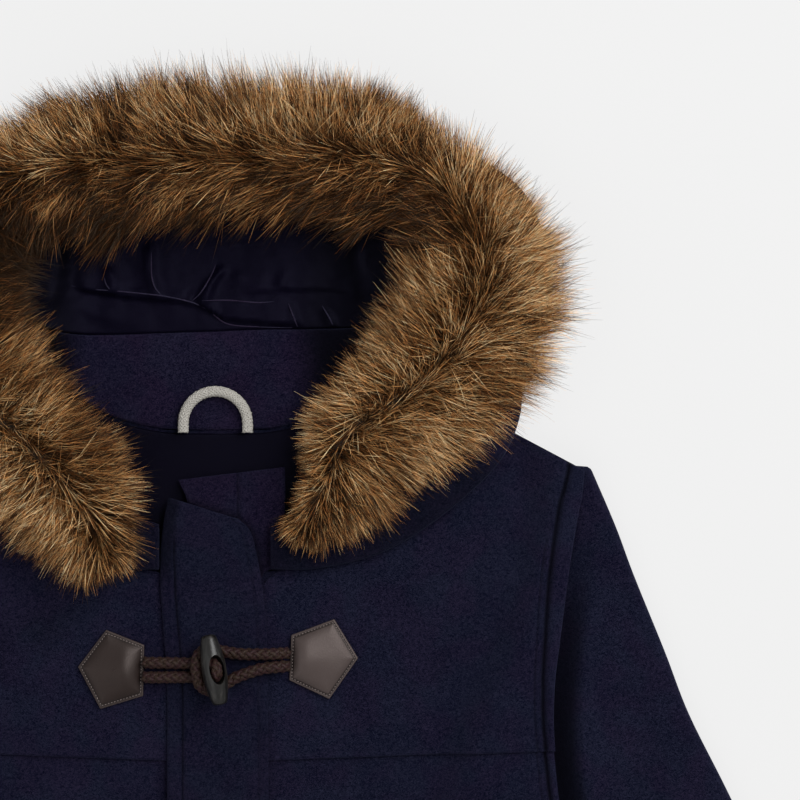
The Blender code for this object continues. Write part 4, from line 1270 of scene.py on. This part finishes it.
def hair_points(tree, given, position):
    """Roots on the pelt, each with a heading, a size, a tone and a pull to its tuft."""
    seed = given["Seed"]
    anywhere = {"distribute_method": "RANDOM"}
    roots = put(tree, "GeometryNodeDistributePointsOnFaces", anywhere, Mesh=given["Pelt"],
                Density=given["Hairs Per Area"], Seed=seed)
    tufts = put(tree, "GeometryNodeDistributePointsOnFaces", anywhere, Mesh=given["Pelt"],
                Density=given["Tufts Per Area"],
                Seed=maths(tree, "ADD", seed, 1.0)).outputs["Points"]
    nearest = put(tree, "GeometryNodeSampleNearest", {"domain": "POINT"}, Geometry=tufts,
                  Sample_Position=position).outputs[0]
    heart = put(tree, "GeometryNodeSampleIndex", {"data_type": "FLOAT_VECTOR", "domain": "POINT"},
                Geometry=tufts, Value=position, Index=nearest).outputs[0]
    combed = vectors(tree, "ADD", kept(tree, "comb", "FLOAT_VECTOR"),
                     scatter(tree, seed, 11, given["Tuft Mess"], nearest))
    loose = scaled(tree, scatter(tree, seed, 12, given["Hair Mess"]), kept(tree, "mess"))
    heading = vectors(tree, "NORMALIZE", vectors(tree, "ADD", combed, loose))
    guard = put(tree, "FunctionNodeCompare", {"data_type": "FLOAT", "operation": "LESS_THAN"},
                _0=chance(tree, seed, 13, 0.0, 1.0), _1=GUARD_SHARE).outputs[0]
    length = maths(tree, "MULTIPLY", kept(tree, "hair_length"),
                   chance(tree, seed, 14, 0.72, 1.04))
    length = maths(tree, "MULTIPLY", length, chance(tree, seed, 15, 0.88, 1.12, nearest))
    length = maths(tree, "MULTIPLY", length, maths(tree, "MULTIPLY_ADD", guard, 0.09, 1.0))
    pull = scaled(tree, vectors(tree, "SUBTRACT", heart, position), given["Tuft Pull"])
    pull = vectors(tree, "ADD", pull, scaled(tree, scatter(tree, seed, 16, 0.16), length))
    # The stored tone carries painted light and shade as well as the fur's own tone
    tone = maths(tree, "ADD", kept(tree, "tone"), chance(tree, seed, 17, -0.66, 0.66))
    tone = maths(tree, "ADD", tone, chance(tree, seed, 18, -0.18, 0.18, nearest))
    leaning = vectors(tree, "ADD", (0.0, 0.0, 1.0), scatter(tree, seed, 19, 0.9))
    side = vectors(tree, "NORMALIZE", vectors(tree, "CROSS_PRODUCT", heading, leaning))
    points = roots.outputs["Points"]
    for label, value, kind in (
            ("hair_root", position, "FLOAT_VECTOR"), ("hair_heading", heading, "FLOAT_VECTOR"),
            ("hair_pull", pull, "FLOAT_VECTOR"), ("hair_size", length, "FLOAT"),
            ("tone", tone, "FLOAT"), ("guard", guard, "FLOAT"),
            ("hair_side", side, "FLOAT_VECTOR")):
        points = keep(tree, points, label, value, kind)
    return points


def hair_blades(tree, given, position, points):
    """A tapered blade on each root, that follows its heading, droops and joins its tuft."""
    blade = put(tree, "GeometryNodeMeshGrid", Size_X=1.0, Size_Y=1.0, Vertices_X=2,
                Vertices_Y=4).outputs["Mesh"]
    split = put(tree, "ShaderNodeSeparateXYZ", Vector=position).outputs
    blade = keep(tree, blade, "along", maths(tree, "ADD", split[1], 0.5))
    blade = keep(tree, blade, "hair_edge", split[0])
    grown = put(tree, "GeometryNodeInstanceOnPoints", Points=points,
                Instance=blade).outputs["Instances"]
    grown = put(tree, "GeometryNodeRealizeInstances", Geometry=grown).outputs["Geometry"]

    t = kept(tree, "along")
    size = kept(tree, "hair_size")
    bent = maths(tree, "MULTIPLY", t, t)
    shaft = scaled(tree, kept(tree, "hair_heading", "FLOAT_VECTOR"),
                   maths(tree, "MULTIPLY", t, size))
    fall = maths(tree, "MULTIPLY", maths(tree, "MULTIPLY", bent, size), given["Droop"])
    sag = scaled(tree, (0.0, 0.0, -1.0), fall)
    drawn = scaled(tree, kept(tree, "hair_pull", "FLOAT_VECTOR"), maths(tree, "POWER", t, 1.4))
    thinned = maths(tree, "SUBTRACT", 1.0, maths(tree, "MULTIPLY", bent, 0.93))
    taper = maths(tree, "POWER", thinned, 0.8)
    width = maths(tree, "MULTIPLY", kept(tree, "hair_edge"), given["Hair Width"])
    thicker = maths(tree, "MULTIPLY_ADD", kept(tree, "guard"), 0.35, 1.0)
    width = maths(tree, "MULTIPLY", width, maths(tree, "MULTIPLY", taper, thicker))
    edge = scaled(tree, kept(tree, "hair_side", "FLOAT_VECTOR"), width)
    place = vectors(tree, "ADD", kept(tree, "hair_root", "FLOAT_VECTOR"), shaft)
    bends = vectors(tree, "ADD", vectors(tree, "ADD", sag, drawn), edge)
    place = vectors(tree, "ADD", place, bends)
    place = vectors(tree, "MAXIMUM", place, (-10.0, -10.0, HAIR_LOWEST))
    place = vectors(tree, "MINIMUM", place, (10.0, 10.0, HAIR_HIGHEST))
    return put(tree, "GeometryNodeSetPosition", Geometry=grown, Position=place).outputs["Geometry"]


def hair_tree():
    """Grows combed, clumped hair on a pelt: each hair is a bent, tapered blade."""
    tree, given, out = new_group("fur_hair", "GeometryNodeTree", (
        ("Pelt", "Geometry", None), ("Hairs Per Area", "Float", 1.8e6),
        ("Tufts Per Area", "Float", 8.0e4), ("Hair Width", "Float", 0.00023),
        ("Tuft Pull", "Float", 0.64), ("Tuft Mess", "Float", 0.42),
        ("Hair Mess", "Float", 0.27), ("Droop", "Float", 0.26),
        ("Finish", "Material", None), ("Seed", "Int", 3)), [("Hair", "Geometry")])
    position = tree.nodes.new("GeometryNodeInputPosition").outputs[0]
    points = hair_points(tree, given, position)
    grown = hair_blades(tree, given, position, points)
    for label in ("hair_root", "hair_heading", "hair_pull", "hair_size", "hair_side", "hair_edge",
                  "comb", "hair_length", "mess"):
        grown = put(tree, "GeometryNodeRemoveAttribute", Geometry=grown,
                    Name=label).outputs["Geometry"]
    return close_tree(tree, grown, given["Finish"], out)


def from_nodes(name, obj, tree, values):
    """The plain mesh that a node tree makes from an object."""
    modifier = obj.modifiers.new("made", "NODES")
    modifier.node_group = tree
    sockets = {s.name: s.identifier for s in tree.interface.items_tree
               if s.item_type == "SOCKET" and s.in_out == "INPUT"}
    for label, value in values.items():
        modifier[sockets[label]] = value
    return settled(name, obj)


def fur_material(name, root, middle, light, pale, tip):
    """Hair that is dark at its root, golden along it and, on guard hairs, dark-tipped."""
    made, tree, shader = new_material(name)
    along_hair, tone, guard = [attribute_share(tree, label) for label in ("along", "tone", "guard")]
    where = object_place(tree)
    patch = remap(tree, noise(tree, where, 45.0, Detail=2.0), 0.35, 0.65, -0.16, 0.16)
    # The stored tone carries painted light and shade as well as the fur's own tone
    share = maths(tree, "ADD", tone, patch, clamp=True)
    body = colour_ramp(tree, share, (0.05, root), (0.45, middle), (0.86, light), (1.0, pale))
    strand = noise(tree, where, 420.0, Detail=1.0)
    hue = colour_ramp(tree, strand, (0.36, (1.14, 0.88, 0.66)), (0.64, (0.90, 1.04, 1.10)))
    shade = colour_ramp(tree, along_hair, (0.0, (0.18, 0.15, 0.13)), (0.28, (0.46, 0.42, 0.38)),
                        (0.60, (1.0, 1.0, 1.0)), (1.0, (1.35, 1.38, 1.42)))
    coloured = mix(tree, 1.0, mix(tree, 1.0, body, hue, "MULTIPLY"), shade, "MULTIPLY")
    dark = maths(tree, "MULTIPLY", remap(tree, along_hair, 0.66, 0.9), guard)
    dress(tree, shader, mix(tree, dark, coloured, tip), 0.42, 0.17, (1.0, 0.84, 0.62))
    return made


def pelt_material():
    """Dark skin between the hairs."""
    made, tree, shader = new_material("fur_backing")
    fuzz = noise(tree, object_place(tree), 1400.0, Detail=3.0)
    colour = colour_ramp(tree, fuzz, (0.35, (0.010, 0.006, 0.004)), (0.7, (0.045, 0.026, 0.014)))
    dress(tree, shader, colour, 0.9, None)
    bump(tree, shader, fuzz, 0.0006)
    return made


FUR = fur_material("brown_fur", (0.018, 0.0075, 0.0030), (0.208, 0.085, 0.0262),
                   (0.66, 0.376, 0.156), (0.92, 0.665, 0.375), (0.010, 0.007, 0.006))
PELT = pelt_material()


def make_pelt():
    """The closed pelt under the hair, flat below and domed above."""
    t = np.linspace(0.0, LAST_STATION, 157)
    share = np.sin(np.linspace(-math.pi / 2, math.pi / 2, 17))
    x, y, z, *_ = fur_surface(t, share)
    base = np.broadcast_to(reading(FUR_BASE, t)[:, None] + 0.3, x.shape)
    rows, columns = x.shape
    points = np.concatenate([np.dstack([x, y, z]), np.dstack([x, y, base])]).reshape(-1, 3)
    count = rows * columns
    faces = grid_faces(rows, columns) + grid_faces(rows, columns, count, True)
    ring = grid_rim(rows, columns)
    faces += [(a, a + count, b + count, b) for a, b in zip(ring, ring[1:] + ring[:1])]
    pelt = new_object("fur_backing", points, faces)
    finish_piece(pelt, PELT, "fur", "fur_trim")


def make_fur():
    """The pelt, and the hair on it in several pieces."""
    make_pelt()
    tree = hair_tree()
    share = np.sin(np.linspace(-math.pi / 2, math.pi / 2, 33))
    for number, (start, end) in enumerate(zip(PELT_BORDERS, PELT_BORDERS[1:]), start=1):
        t = np.linspace(start, end, int((end - start) * 14) + 1)
        x, y, z, comb, size, tone, mess = fur_surface(t, share)
        name = f"fur_hair_{number}"
        pelt = new_object(name + "_ground", np.dstack([x, y, z]).reshape(-1, 3),
                          grid_faces(*x.shape))
        set_attribute(pelt.data, "comb", "FLOAT_VECTOR", comb)
        set_attribute(pelt.data, "hair_length", "FLOAT", size * MM)
        set_attribute(pelt.data, "tone", "FLOAT", tone)
        set_attribute(pelt.data, "mess", "FLOAT", mess)
        hair = from_nodes(name, pelt, tree, {
            "Hairs Per Area": HAIRS_PER_AREA, "Finish": FUR, "Seed": 7 * number})
        hair.data.shade_smooth()
        finish_piece(hair, FUR, "fur")


make_fur()


# ------------------------------------------------------------------ cords
TOGGLE_CORD_ROUTE = (
    (-31, 3.2, 0), (-26, 3.2, 0), (-20, 3.2, 0.2), (-14, 3.1, 0.2), (-8, 3.1, 0.1), (-4.4, 3, 0.7),
    (-1.9, 3.3, 4.2), (-1, 3.6, 8.4), (0.3, 3.3, 11.8), (1.4, 0.8, 13.2), (1.2, -1.8, 11.8),
    (-0.2, -2.1, 8.4), (-1.3, -2.2, 4.2), (-4, -2.5, 0.6), (-8, -2.9, 0.1), (-14, -3, 0.2),
    (-20, -3.1, 0.2), (-26, -3.2, 0), (-31.3, -3.3, 0),
)
LOOP_CORD_ROUTE = (
    (32.4, 7.5, 0), (26, 7.2, 0.4), (19, 7.1, 0.4), (12, 7.2, 0.4), (6, 7.9, 0.5), (1, 9.1, 0.8),
    (-3, 9.5, 2.4), (-6.7, 7.2, 4.9), (-7.8, 2.8, 6.4), (-7.5, -1.8, 6.4), (-6.2, -6.3, 5.1),
    (-2.5, -8.8, 2.4), (1.4, -8.3, 0.8), (5, -6, 0.4), (9, -3.4, 0.4), (14.4, -1.3, 0.4),
    (21, 0.7, 0.4), (27, 1.4, 0.4), (32.4, 1.7, 0),
)
CORD_RADIUS = 2.75
LOOP_RADIUS = 2.6
LOCKER_ARC = (14.3, 3.8)


def even_route(points, spacing):
    """Evenly spaced points on a smooth curve through the points of a route."""
    fine = spline(points, np.linspace(0.0, len(points) - 1.0, (len(points) - 1) * 12 + 1))
    lengths = run_lengths(fine)
    count = int(round(lengths[-1] / spacing)) + 1
    wanted = np.linspace(0.0, lengths[-1], count)
    return np.stack([np.interp(wanted, lengths, fine[:, k]) for k in range(3)], axis=1)


def cord_route(table, row):
    """A cord's route raised on what it crosses: the placket, or the cloth beside it."""
    route = []
    for x, y, lift in table:
        reach = PLACKET_RIGHT[0][0] + 10.0 if x > 0.0 else -PLACKET_LEFT[0][0] + 10.0
        on_placket = step((reach - abs(x)) / 8.0)
        beside = chest_top(x, row + y)
        ground = beside + (placket_top(0.0, row + y) - beside) * on_placket
        route.append((x, row + y, float(ground) + SEAM + CORD_RADIUS + lift))
    return route


def braided_cord(name, points, radius, pairs, turn, finish):
    """A round braid of `pairs` yarns each way round a core; turn is one turn's length."""
    _, normals, binormals = path_frames(points)
    lengths = run_lengths(points)
    weave, yarn = 0.07 * radius + 0.12, 0.2 * radius
    middle = radius - weave - yarn
    half_width = 0.86 * math.pi * middle / pairs / math.hypot(1.0, 2 * math.pi * middle / turn)
    all_points, all_faces, along_yarn = [], [], []
    core_points, core_faces = tube_parts(points, normals, binormals, middle, middle, 8)
    all_points.append(core_points)
    all_faces += core_faces
    along_yarn.append(np.repeat(lengths, 8))
    total = len(core_points)
    for way in (1.0, -1.0):
        for number in range(pairs):
            angle = way * 2 * math.pi * lengths / turn + 2 * math.pi * number / pairs
            away = (np.cos(angle)[:, None] * normals + np.sin(angle)[:, None] * binormals)
            rise = way * weave * np.cos(math.pi * lengths * 2 * pairs / turn)
            centres = points + away * (middle + rise)[:, None]
            heading = np.gradient(centres, axis=0)
            heading /= np.linalg.norm(heading, axis=1)[:, None]
            beside = np.cross(heading, away)
            yarn_points, yarn_faces = tube_parts(centres, beside, away, half_width, yarn, 6)
            all_points.append(yarn_points)
            all_faces += [[k + total for k in face] for face in yarn_faces]
            along_yarn.append(np.repeat(lengths + 3.1 * number + 17.0 * (way > 0), 6))
            total += len(yarn_points)
    cord = new_object(name, np.concatenate(all_points), all_faces)
    layer = cord.data.uv_layers.new(name="strand")
    corner = np.empty(len(cord.data.loops), dtype=np.int64)
    cord.data.loops.foreach_get("vertex_index", corner)
    run = np.concatenate(along_yarn)[corner]
    around = (corner % 6) / 6.0
    layer.data.foreach_set("uv", np.stack([run * 0.05, around], axis=1).ravel())
    cord.data.materials.append(finish)
    return cord


def declare_cord(obj, points, slot_name, node, finish):
    """Finishes a cord."""
    finish_piece(obj, finish, slot_name, node)
    path = world_path(points)


def make_locker_loop():
    """The hanging loop, which lies upward from the neck seam."""
    radius, middle = LOCKER_ARC
    height = WOOL + SEAM + WOOL + SEAM + LOOP_RADIUS
    route = [(radius, -0.2, height), (radius, middle / 2, height)]
    for number in range(13):
        angle = math.pi * number / 12
        route.append((radius * math.cos(angle), middle + radius * math.sin(angle), height))
    route += [(-radius, middle / 2, height), (-radius, -0.2, height)]
    points = even_route(route, 0.62)
    loop = braided_cord("locker_loop_cord", points, LOOP_RADIUS, 8, 13.0, LOOP_YARN)
    declare_cord(loop, points, "loop", "locker_loop", LOOP_YARN)


def make_toggle_cords(number, row):
    """The cord that holds a toggle and the one that loops round it."""
    for name, table in (("toggle_cord", TOGGLE_CORD_ROUTE), ("loop_cord", LOOP_CORD_ROUTE)):
        points = even_route(cord_route(table, row), 0.95)
        cord = braided_cord(f"{name}_{number}_braid", points, 1.05 * CORD_RADIUS, 4, 14.4,
                            CORD_YARN)
        declare_cord(cord, points, "cord", f"{name}_{number}", CORD_YARN)


# ------------------------------------------------------------------ patches and toggles
RIGHT_PATCH = ((33.8, 15.3), (52.9, 22.4), (63.5, 5.1), (50.7, -13.1), (32.9, -4.7))
LEFT_PATCH = ((-31.5, 10.9), (-48.4, 17.6), (-60.9, 1.2), (-51.0, -17.5), (-32.0, -11.7))
PATCH_WALL = 1.7
STITCH_INSET = 1.1


def outline_ring(corners, each):
    """Points round a polygon, closer together near its corners, and rounded there."""
    ring = []
    share = np.sin(np.linspace(-math.pi / 2, math.pi / 2, each + 1)[:-1]) * 0.5 + 0.5
    for a, b in zip(corners, corners[1:] + corners[:1]):
        ring += [(a[0] + (b[0] - a[0]) * t, a[1] + (b[1] - a[1]) * t) for t in share]
    ring = np.array(ring)
    soft = (np.roll(ring, 1, axis=0) + ring + np.roll(ring, -1, axis=0)) / 3.0
    return soft


def cord_bump(x, y, side):
    """How the cord's ends lift the leather: steep at the inner edge, easing outward."""
    inward = side * x - 32.0
    across = np.exp(-((y - (5.0 if side > 0 else -0.5)) / 12.0) ** 2)
    return 3.8 * across * step((inward + 2.5) / 12.0) * np.clip((32.0 - inward) / 25.0, 0.0, 1.0)


def make_patch(name, corners, row, node, finish):
    """A leather pentagon, its edge rounded, drawn in along its stitches and lifted by cord."""
    ring = outline_ring(corners, 14)
    centre = ring.mean(axis=0)
    inward = centre - ring
    apothem = np.linalg.norm(inward, axis=1).min()
    side = 1.0 if centre[0] > 0.0 else -1.0
    insets = (0.0, 0.12, 0.3, 0.55, 0.8, STITCH_INSET, 1.45, 2.0, 3.2, 4.6, 6.2, 8.0, 9.8,
              11.6, 13.2)
    low = np.column_stack([ring, chest_top(ring[:, 0], ring[:, 1] + row) + SEAM])
    rows, rims = [low], [np.full(len(ring), 1.0)]
    for inset in insets:
        place = ring + inward * (inset / apothem)
        ditch = math.exp(-((inset - STITCH_INSET) / 0.45) ** 2)
        height = (PATCH_WALL - float(rolled(np.array(inset), 1.5)) - 0.4 * ditch
                  + 0.2 * float(step((inset - 1.6) / 3.0)))
        height = height + cord_bump(place[:, 0], place[:, 1], side) * float(
            step((inset + 1.0) / 5.0))
        ground = chest_top(place[:, 0], place[:, 1] + row)
        rows.append(np.column_stack([place, ground + SEAM + height]))
        rims.append(np.full(len(ring), 0.8 * math.exp(-(inset / 0.45) ** 2) - 0.9 * ditch))
    rows = np.array(rows)
    count = len(ring)
    faces = ring_faces(len(rows), count)
    top = (len(rows) - 1) * count
    flat = np.vstack([rows.reshape(-1, 3), rows[-1].mean(axis=0)])
    flat[:, 1] += row
    faces += [(top + k, top + (k + 1) % count, len(flat) - 1) for k in range(count)]
    faces.append(list(range(count))[::-1])
    area = sum(a[0] * b[1] - b[0] * a[1] for a, b in zip(corners, corners[1:] + corners[:1]))
    if area < 0:
        faces = [face[::-1] for face in faces]
    patch = new_object(name, flat, [tuple(int(k) for k in face) for face in faces])
    set_attribute(patch.data, "rim", "FLOAT", np.append(np.concatenate(rims), 0.0))
    finish_piece(patch, finish, "leather", node)
    path = rows[insets.index(STITCH_INSET) + 1] + (0.0, row, 0.12)
    stitch_row(name + "_stitches", [np.vstack([path, path[:1]])], 1.4, 0.8, 0.5,
               PALE_THREAD, "leather")


def stitch_tree():
    """Evenly spaced stitches that lie along a path."""
    tree, given, out = new_group("stitches", "GeometryNodeTree", (
        ("Path", "Geometry", None), ("Pitch", "Float", 0.003),
        ("Stitch Length", "Float", 0.0022), ("Thread", "Float", 0.0005),
        ("Finish", "Material", None), ("Seed", "Int", 1)), [("Stitches", "Geometry")])
    line = put(tree, "GeometryNodeMeshToCurve", Mesh=given["Path"]).outputs["Curve"]
    line = put(tree, "GeometryNodeResampleCurve", {"mode": "LENGTH"}, Curve=line,
               Length=given["Pitch"]).outputs["Curve"]
    tangent = tree.nodes.new("GeometryNodeInputTangent").outputs[0]
    turned = put(tree, "FunctionNodeAlignRotationToVector", {"axis": "X"},
                 Vector=tangent).outputs[0]
    jitter = put(tree, "FunctionNodeRandomValue", {"data_type": "FLOAT"}, _2=0.88, _3=1.1,
                 Seed=given["Seed"]).outputs[1]
    reach = maths(tree, "MULTIPLY", given["Stitch Length"], jitter)
    size = put(tree, "ShaderNodeCombineXYZ", X=reach, Y=given["Thread"],
               Z=given["Thread"]).outputs[0]
    bead = put(tree, "GeometryNodeMeshUVSphere", Segments=6, Rings=4, Radius=0.5).outputs["Mesh"]
    placed = put(tree, "GeometryNodeInstanceOnPoints", Points=line, Instance=bead,
                 Rotation=turned, Scale=size).outputs["Instances"]
    made = put(tree, "GeometryNodeRealizeInstances", Geometry=placed).outputs["Geometry"]
    return close_tree(tree, made, given["Finish"], out)


STITCHES = stitch_tree()


def stitch_row(name, paths, pitch, length, thread, finish, slot_name):
    """One piece of stitches along one or more lines of points."""
    points, edges = [], []
    for path in paths:
        edges += [(len(points) + k, len(points) + k + 1) for k in range(len(path) - 1)]
        points += [tuple(p) for p in path]
    guide = new_object(name + "_path", points, [], edges)
    made = from_nodes(name, guide, STITCHES, {
        "Pitch": pitch * MM, "Stitch Length": length * MM, "Thread": thread * MM,
        "Finish": finish, "Seed": 1})
    made.data.shade_smooth()
    finish_piece(made, finish, slot_name)


TOGGLE_TURN = math.radians(10.0)
TOGGLE_ROLL = math.radians(20.0)
TOGGLE_LIFT = 13.8
# Place on the toggle's length and its radius, from the middle to one end
TOGGLE_SHAPE = (
    (0, 5.5), (1.5, 5.48), (4, 5.35), (7, 4.98), (10, 4.45), (12.6, 3.9), (14.2, 3.5), (15, 3.1),
    (15.5, 2.3), (15.65, 1.2),
)
TOGGLE_PLACE = (0.2, 0.8)
TOGGLE_SIDES = 40
HOLE_HALF = (3.5, 6.4)
HOLE_SIDES = 32
# Height in the barrel, and how much wider the hole is there
HOLE_FLARE = (
    (-9, 2.4), (-6.2, 0.9), (-5.3, 0.35), (-4.4, 0), (4.4, 0), (5.3, 0.35), (6.2, 0.9), (9, 2.4),
)


def directions(count):
    """Cosines and sines of evenly spaced directions all round."""
    return [(math.cos(a), math.sin(a)) for a in 2 * math.pi * np.arange(count) / count]


def toggle_barrel(name, pose):
    """The turned barrel along y, closed at both ends."""
    half = np.array(TOGGLE_SHAPE)
    stations = np.concatenate([-half[:0:-1, 0], half[:, 0]])
    radii = np.concatenate([half[:0:-1, 1], half[:, 1]])
    fine = np.unique(np.concatenate([stations, np.linspace(-9.0, 9.0, 31)]))
    count = TOGGLE_SIDES
    points = [(radius * c, place, radius * s)
              for place, radius in zip(fine, np.interp(fine, stations, radii))
              for c, s in directions(count)]
    points += [(0.0, fine[0] - 0.05, 0.0), (0.0, fine[-1] + 0.05, 0.0)]
    faces = [(a, d, c, b) for a, b, c, d in ring_faces(len(fine), count)]
    low, high = len(points) - 2, len(points) - 1
    last = low - count
    faces += [(low, k, (k + 1) % count) for k in range(count)]
    faces += [(high, last + (k + 1) % count, last + k) for k in range(count)]
    return new_object(name, [tuple(pose @ Vector(p)) for p in points], faces)


def toggle_hole(name, pose):
    """The oval hole through the barrel, wider at both mouths."""
    count, last = HOLE_SIDES, (len(HOLE_FLARE) - 1) * HOLE_SIDES
    points = [((HOLE_HALF[0] + flare * 0.8) * c, (HOLE_HALF[1] + flare) * s, up)
              for up, flare in HOLE_FLARE for c, s in directions(count)]
    faces = ring_faces(len(HOLE_FLARE), count)
    faces += [tuple(range(count))[::-1], tuple(last + k for k in range(count))]
    return new_object(name, [tuple(pose @ Vector(p)) for p in points], faces)


def make_toggle(name, row, node):
    """A turned horn barrel with a hole across it, laid askew on the placket."""
    height = float(placket_top(0.0, row)) + TOGGLE_LIFT
    pose = (Matrix.Translation(Vector((TOGGLE_PLACE[0], row + TOGGLE_PLACE[1], height)))
            @ Matrix.Rotation(TOGGLE_TURN, 4, "Z") @ Matrix.Rotation(TOGGLE_ROLL, 4, "Y"))
    toggle, cutter = toggle_barrel(name, pose), toggle_hole(name + "_hole", pose)
    cut = toggle.modifiers.new("hole", "BOOLEAN")
    cut.operation = "DIFFERENCE"
    cut.solver = "EXACT"
    cut.object = cutter
    made = settled(name, toggle)
    bpy.data.objects.remove(cutter, do_unlink=True)
    made.data.shade_smooth()
    made.data.set_sharp_from_angle(angle=math.radians(38.0))
    finish_piece(made, HORN, "horn", node)


make_locker_loop()
for number, row in enumerate(TOGGLE_ROWS, start=1):
    make_patch(f"toggle_patch_{number}_leather", LEFT_PATCH, row, f"toggle_patch_{number}",
               LEFT_LEATHER)
    make_patch(f"loop_patch_{number}_leather", RIGHT_PATCH, row, f"loop_patch_{number}",
               RIGHT_LEATHER)
    make_toggle_cords(number, row)
    make_toggle(f"toggle_{number}_horn", row, f"toggle_{number}")


# ------------------------------------------------------------------ camera, floor and light
def soft_light(name, place, size, energy, aim):
    """A round soft lamp that points from its place to its aim."""
    lamp = bpy.data.lights.new(name, "AREA")
    lamp.shape = "DISK"
    lamp.size = size
    lamp.energy = energy
    obj = in_scene(name, lamp)
    obj.location = place
    obj.rotation_euler = (Vector(aim) - Vector(place)).to_track_quat("-Z", "Y").to_euler()


# Name, place, size, power and aim of each light
LIGHTS = (
    ("key_light", (1.3, 1.2, 1.7), 1.3, 26.0, (0.0, 0.15, 0.0)),
    ("high_light", (0.75, 0.55, 2.3), 0.7, 14.0, (0.0, 0.15, 0.0)),
    ("fill_light", (-1.5, -0.4, 1.9), 2.0, 7.0, (0.0, 0.1, 0.0)),
)
FLOOR_REACH = 6.0
WHITE = (1.0, 1.0, 1.0, 1.0)
# The camera looks straight down from far off: middle of what it sees, and its width
VIEW_MIDDLE = (0.0821, 0.2192, 0.012)
VIEW_WIDTH = 0.3552
LENS = 200.0
SENSOR = 36.0


def make_floor():
    """A wide pale floor that also glows a little, so that no shadow on it is deep."""
    mesh = bpy.data.meshes.new("floor")
    corners = [(-1, -1), (1, -1), (1, 1), (-1, 1)]
    mesh.from_pydata([(x * FLOOR_REACH, y * FLOOR_REACH, 0) for x, y in corners], [],
                     [(0, 1, 2, 3)])
    floor = in_scene("floor", mesh)
    made, tree, shader = new_material("pale_floor")
    tone = noise(tree, object_place(tree), 3.0)
    pale = colour_ramp(tree, tone, (0.0, (0.14, 0.14, 0.14)), (1.0, (0.155, 0.155, 0.155)))
    dress(tree, shader, pale, 0.9, 0.1)
    shader.inputs["Emission Color"].default_value = WHITE
    shader.inputs["Emission Strength"].default_value = 0.715
    floor.data.materials.append(made)


def make_camera():
    """The camera of the view from above."""
    camera = bpy.data.cameras.new("camera")
    camera.lens = LENS
    camera.sensor_width = SENSOR
    camera.clip_end = 30.0
    seen = in_scene("camera", camera)
    x, y, z = VIEW_MIDDLE
    seen.location = (x, y, z + VIEW_WIDTH * LENS / SENSOR)
    bpy.context.scene.camera = seen


def make_sky():
    """Even pale light from all round."""
    world = bpy.data.worlds.new("studio")
    bpy.context.scene.world = world
    world.use_nodes = True
    world.node_tree.nodes["Background"].inputs["Color"].default_value = WHITE
    world.node_tree.nodes["Background"].inputs["Strength"].default_value = 0.45
    bpy.context.scene.view_settings.view_transform = "Standard"


make_floor()
make_camera()
for light in LIGHTS:
    soft_light(*light)
make_sky()
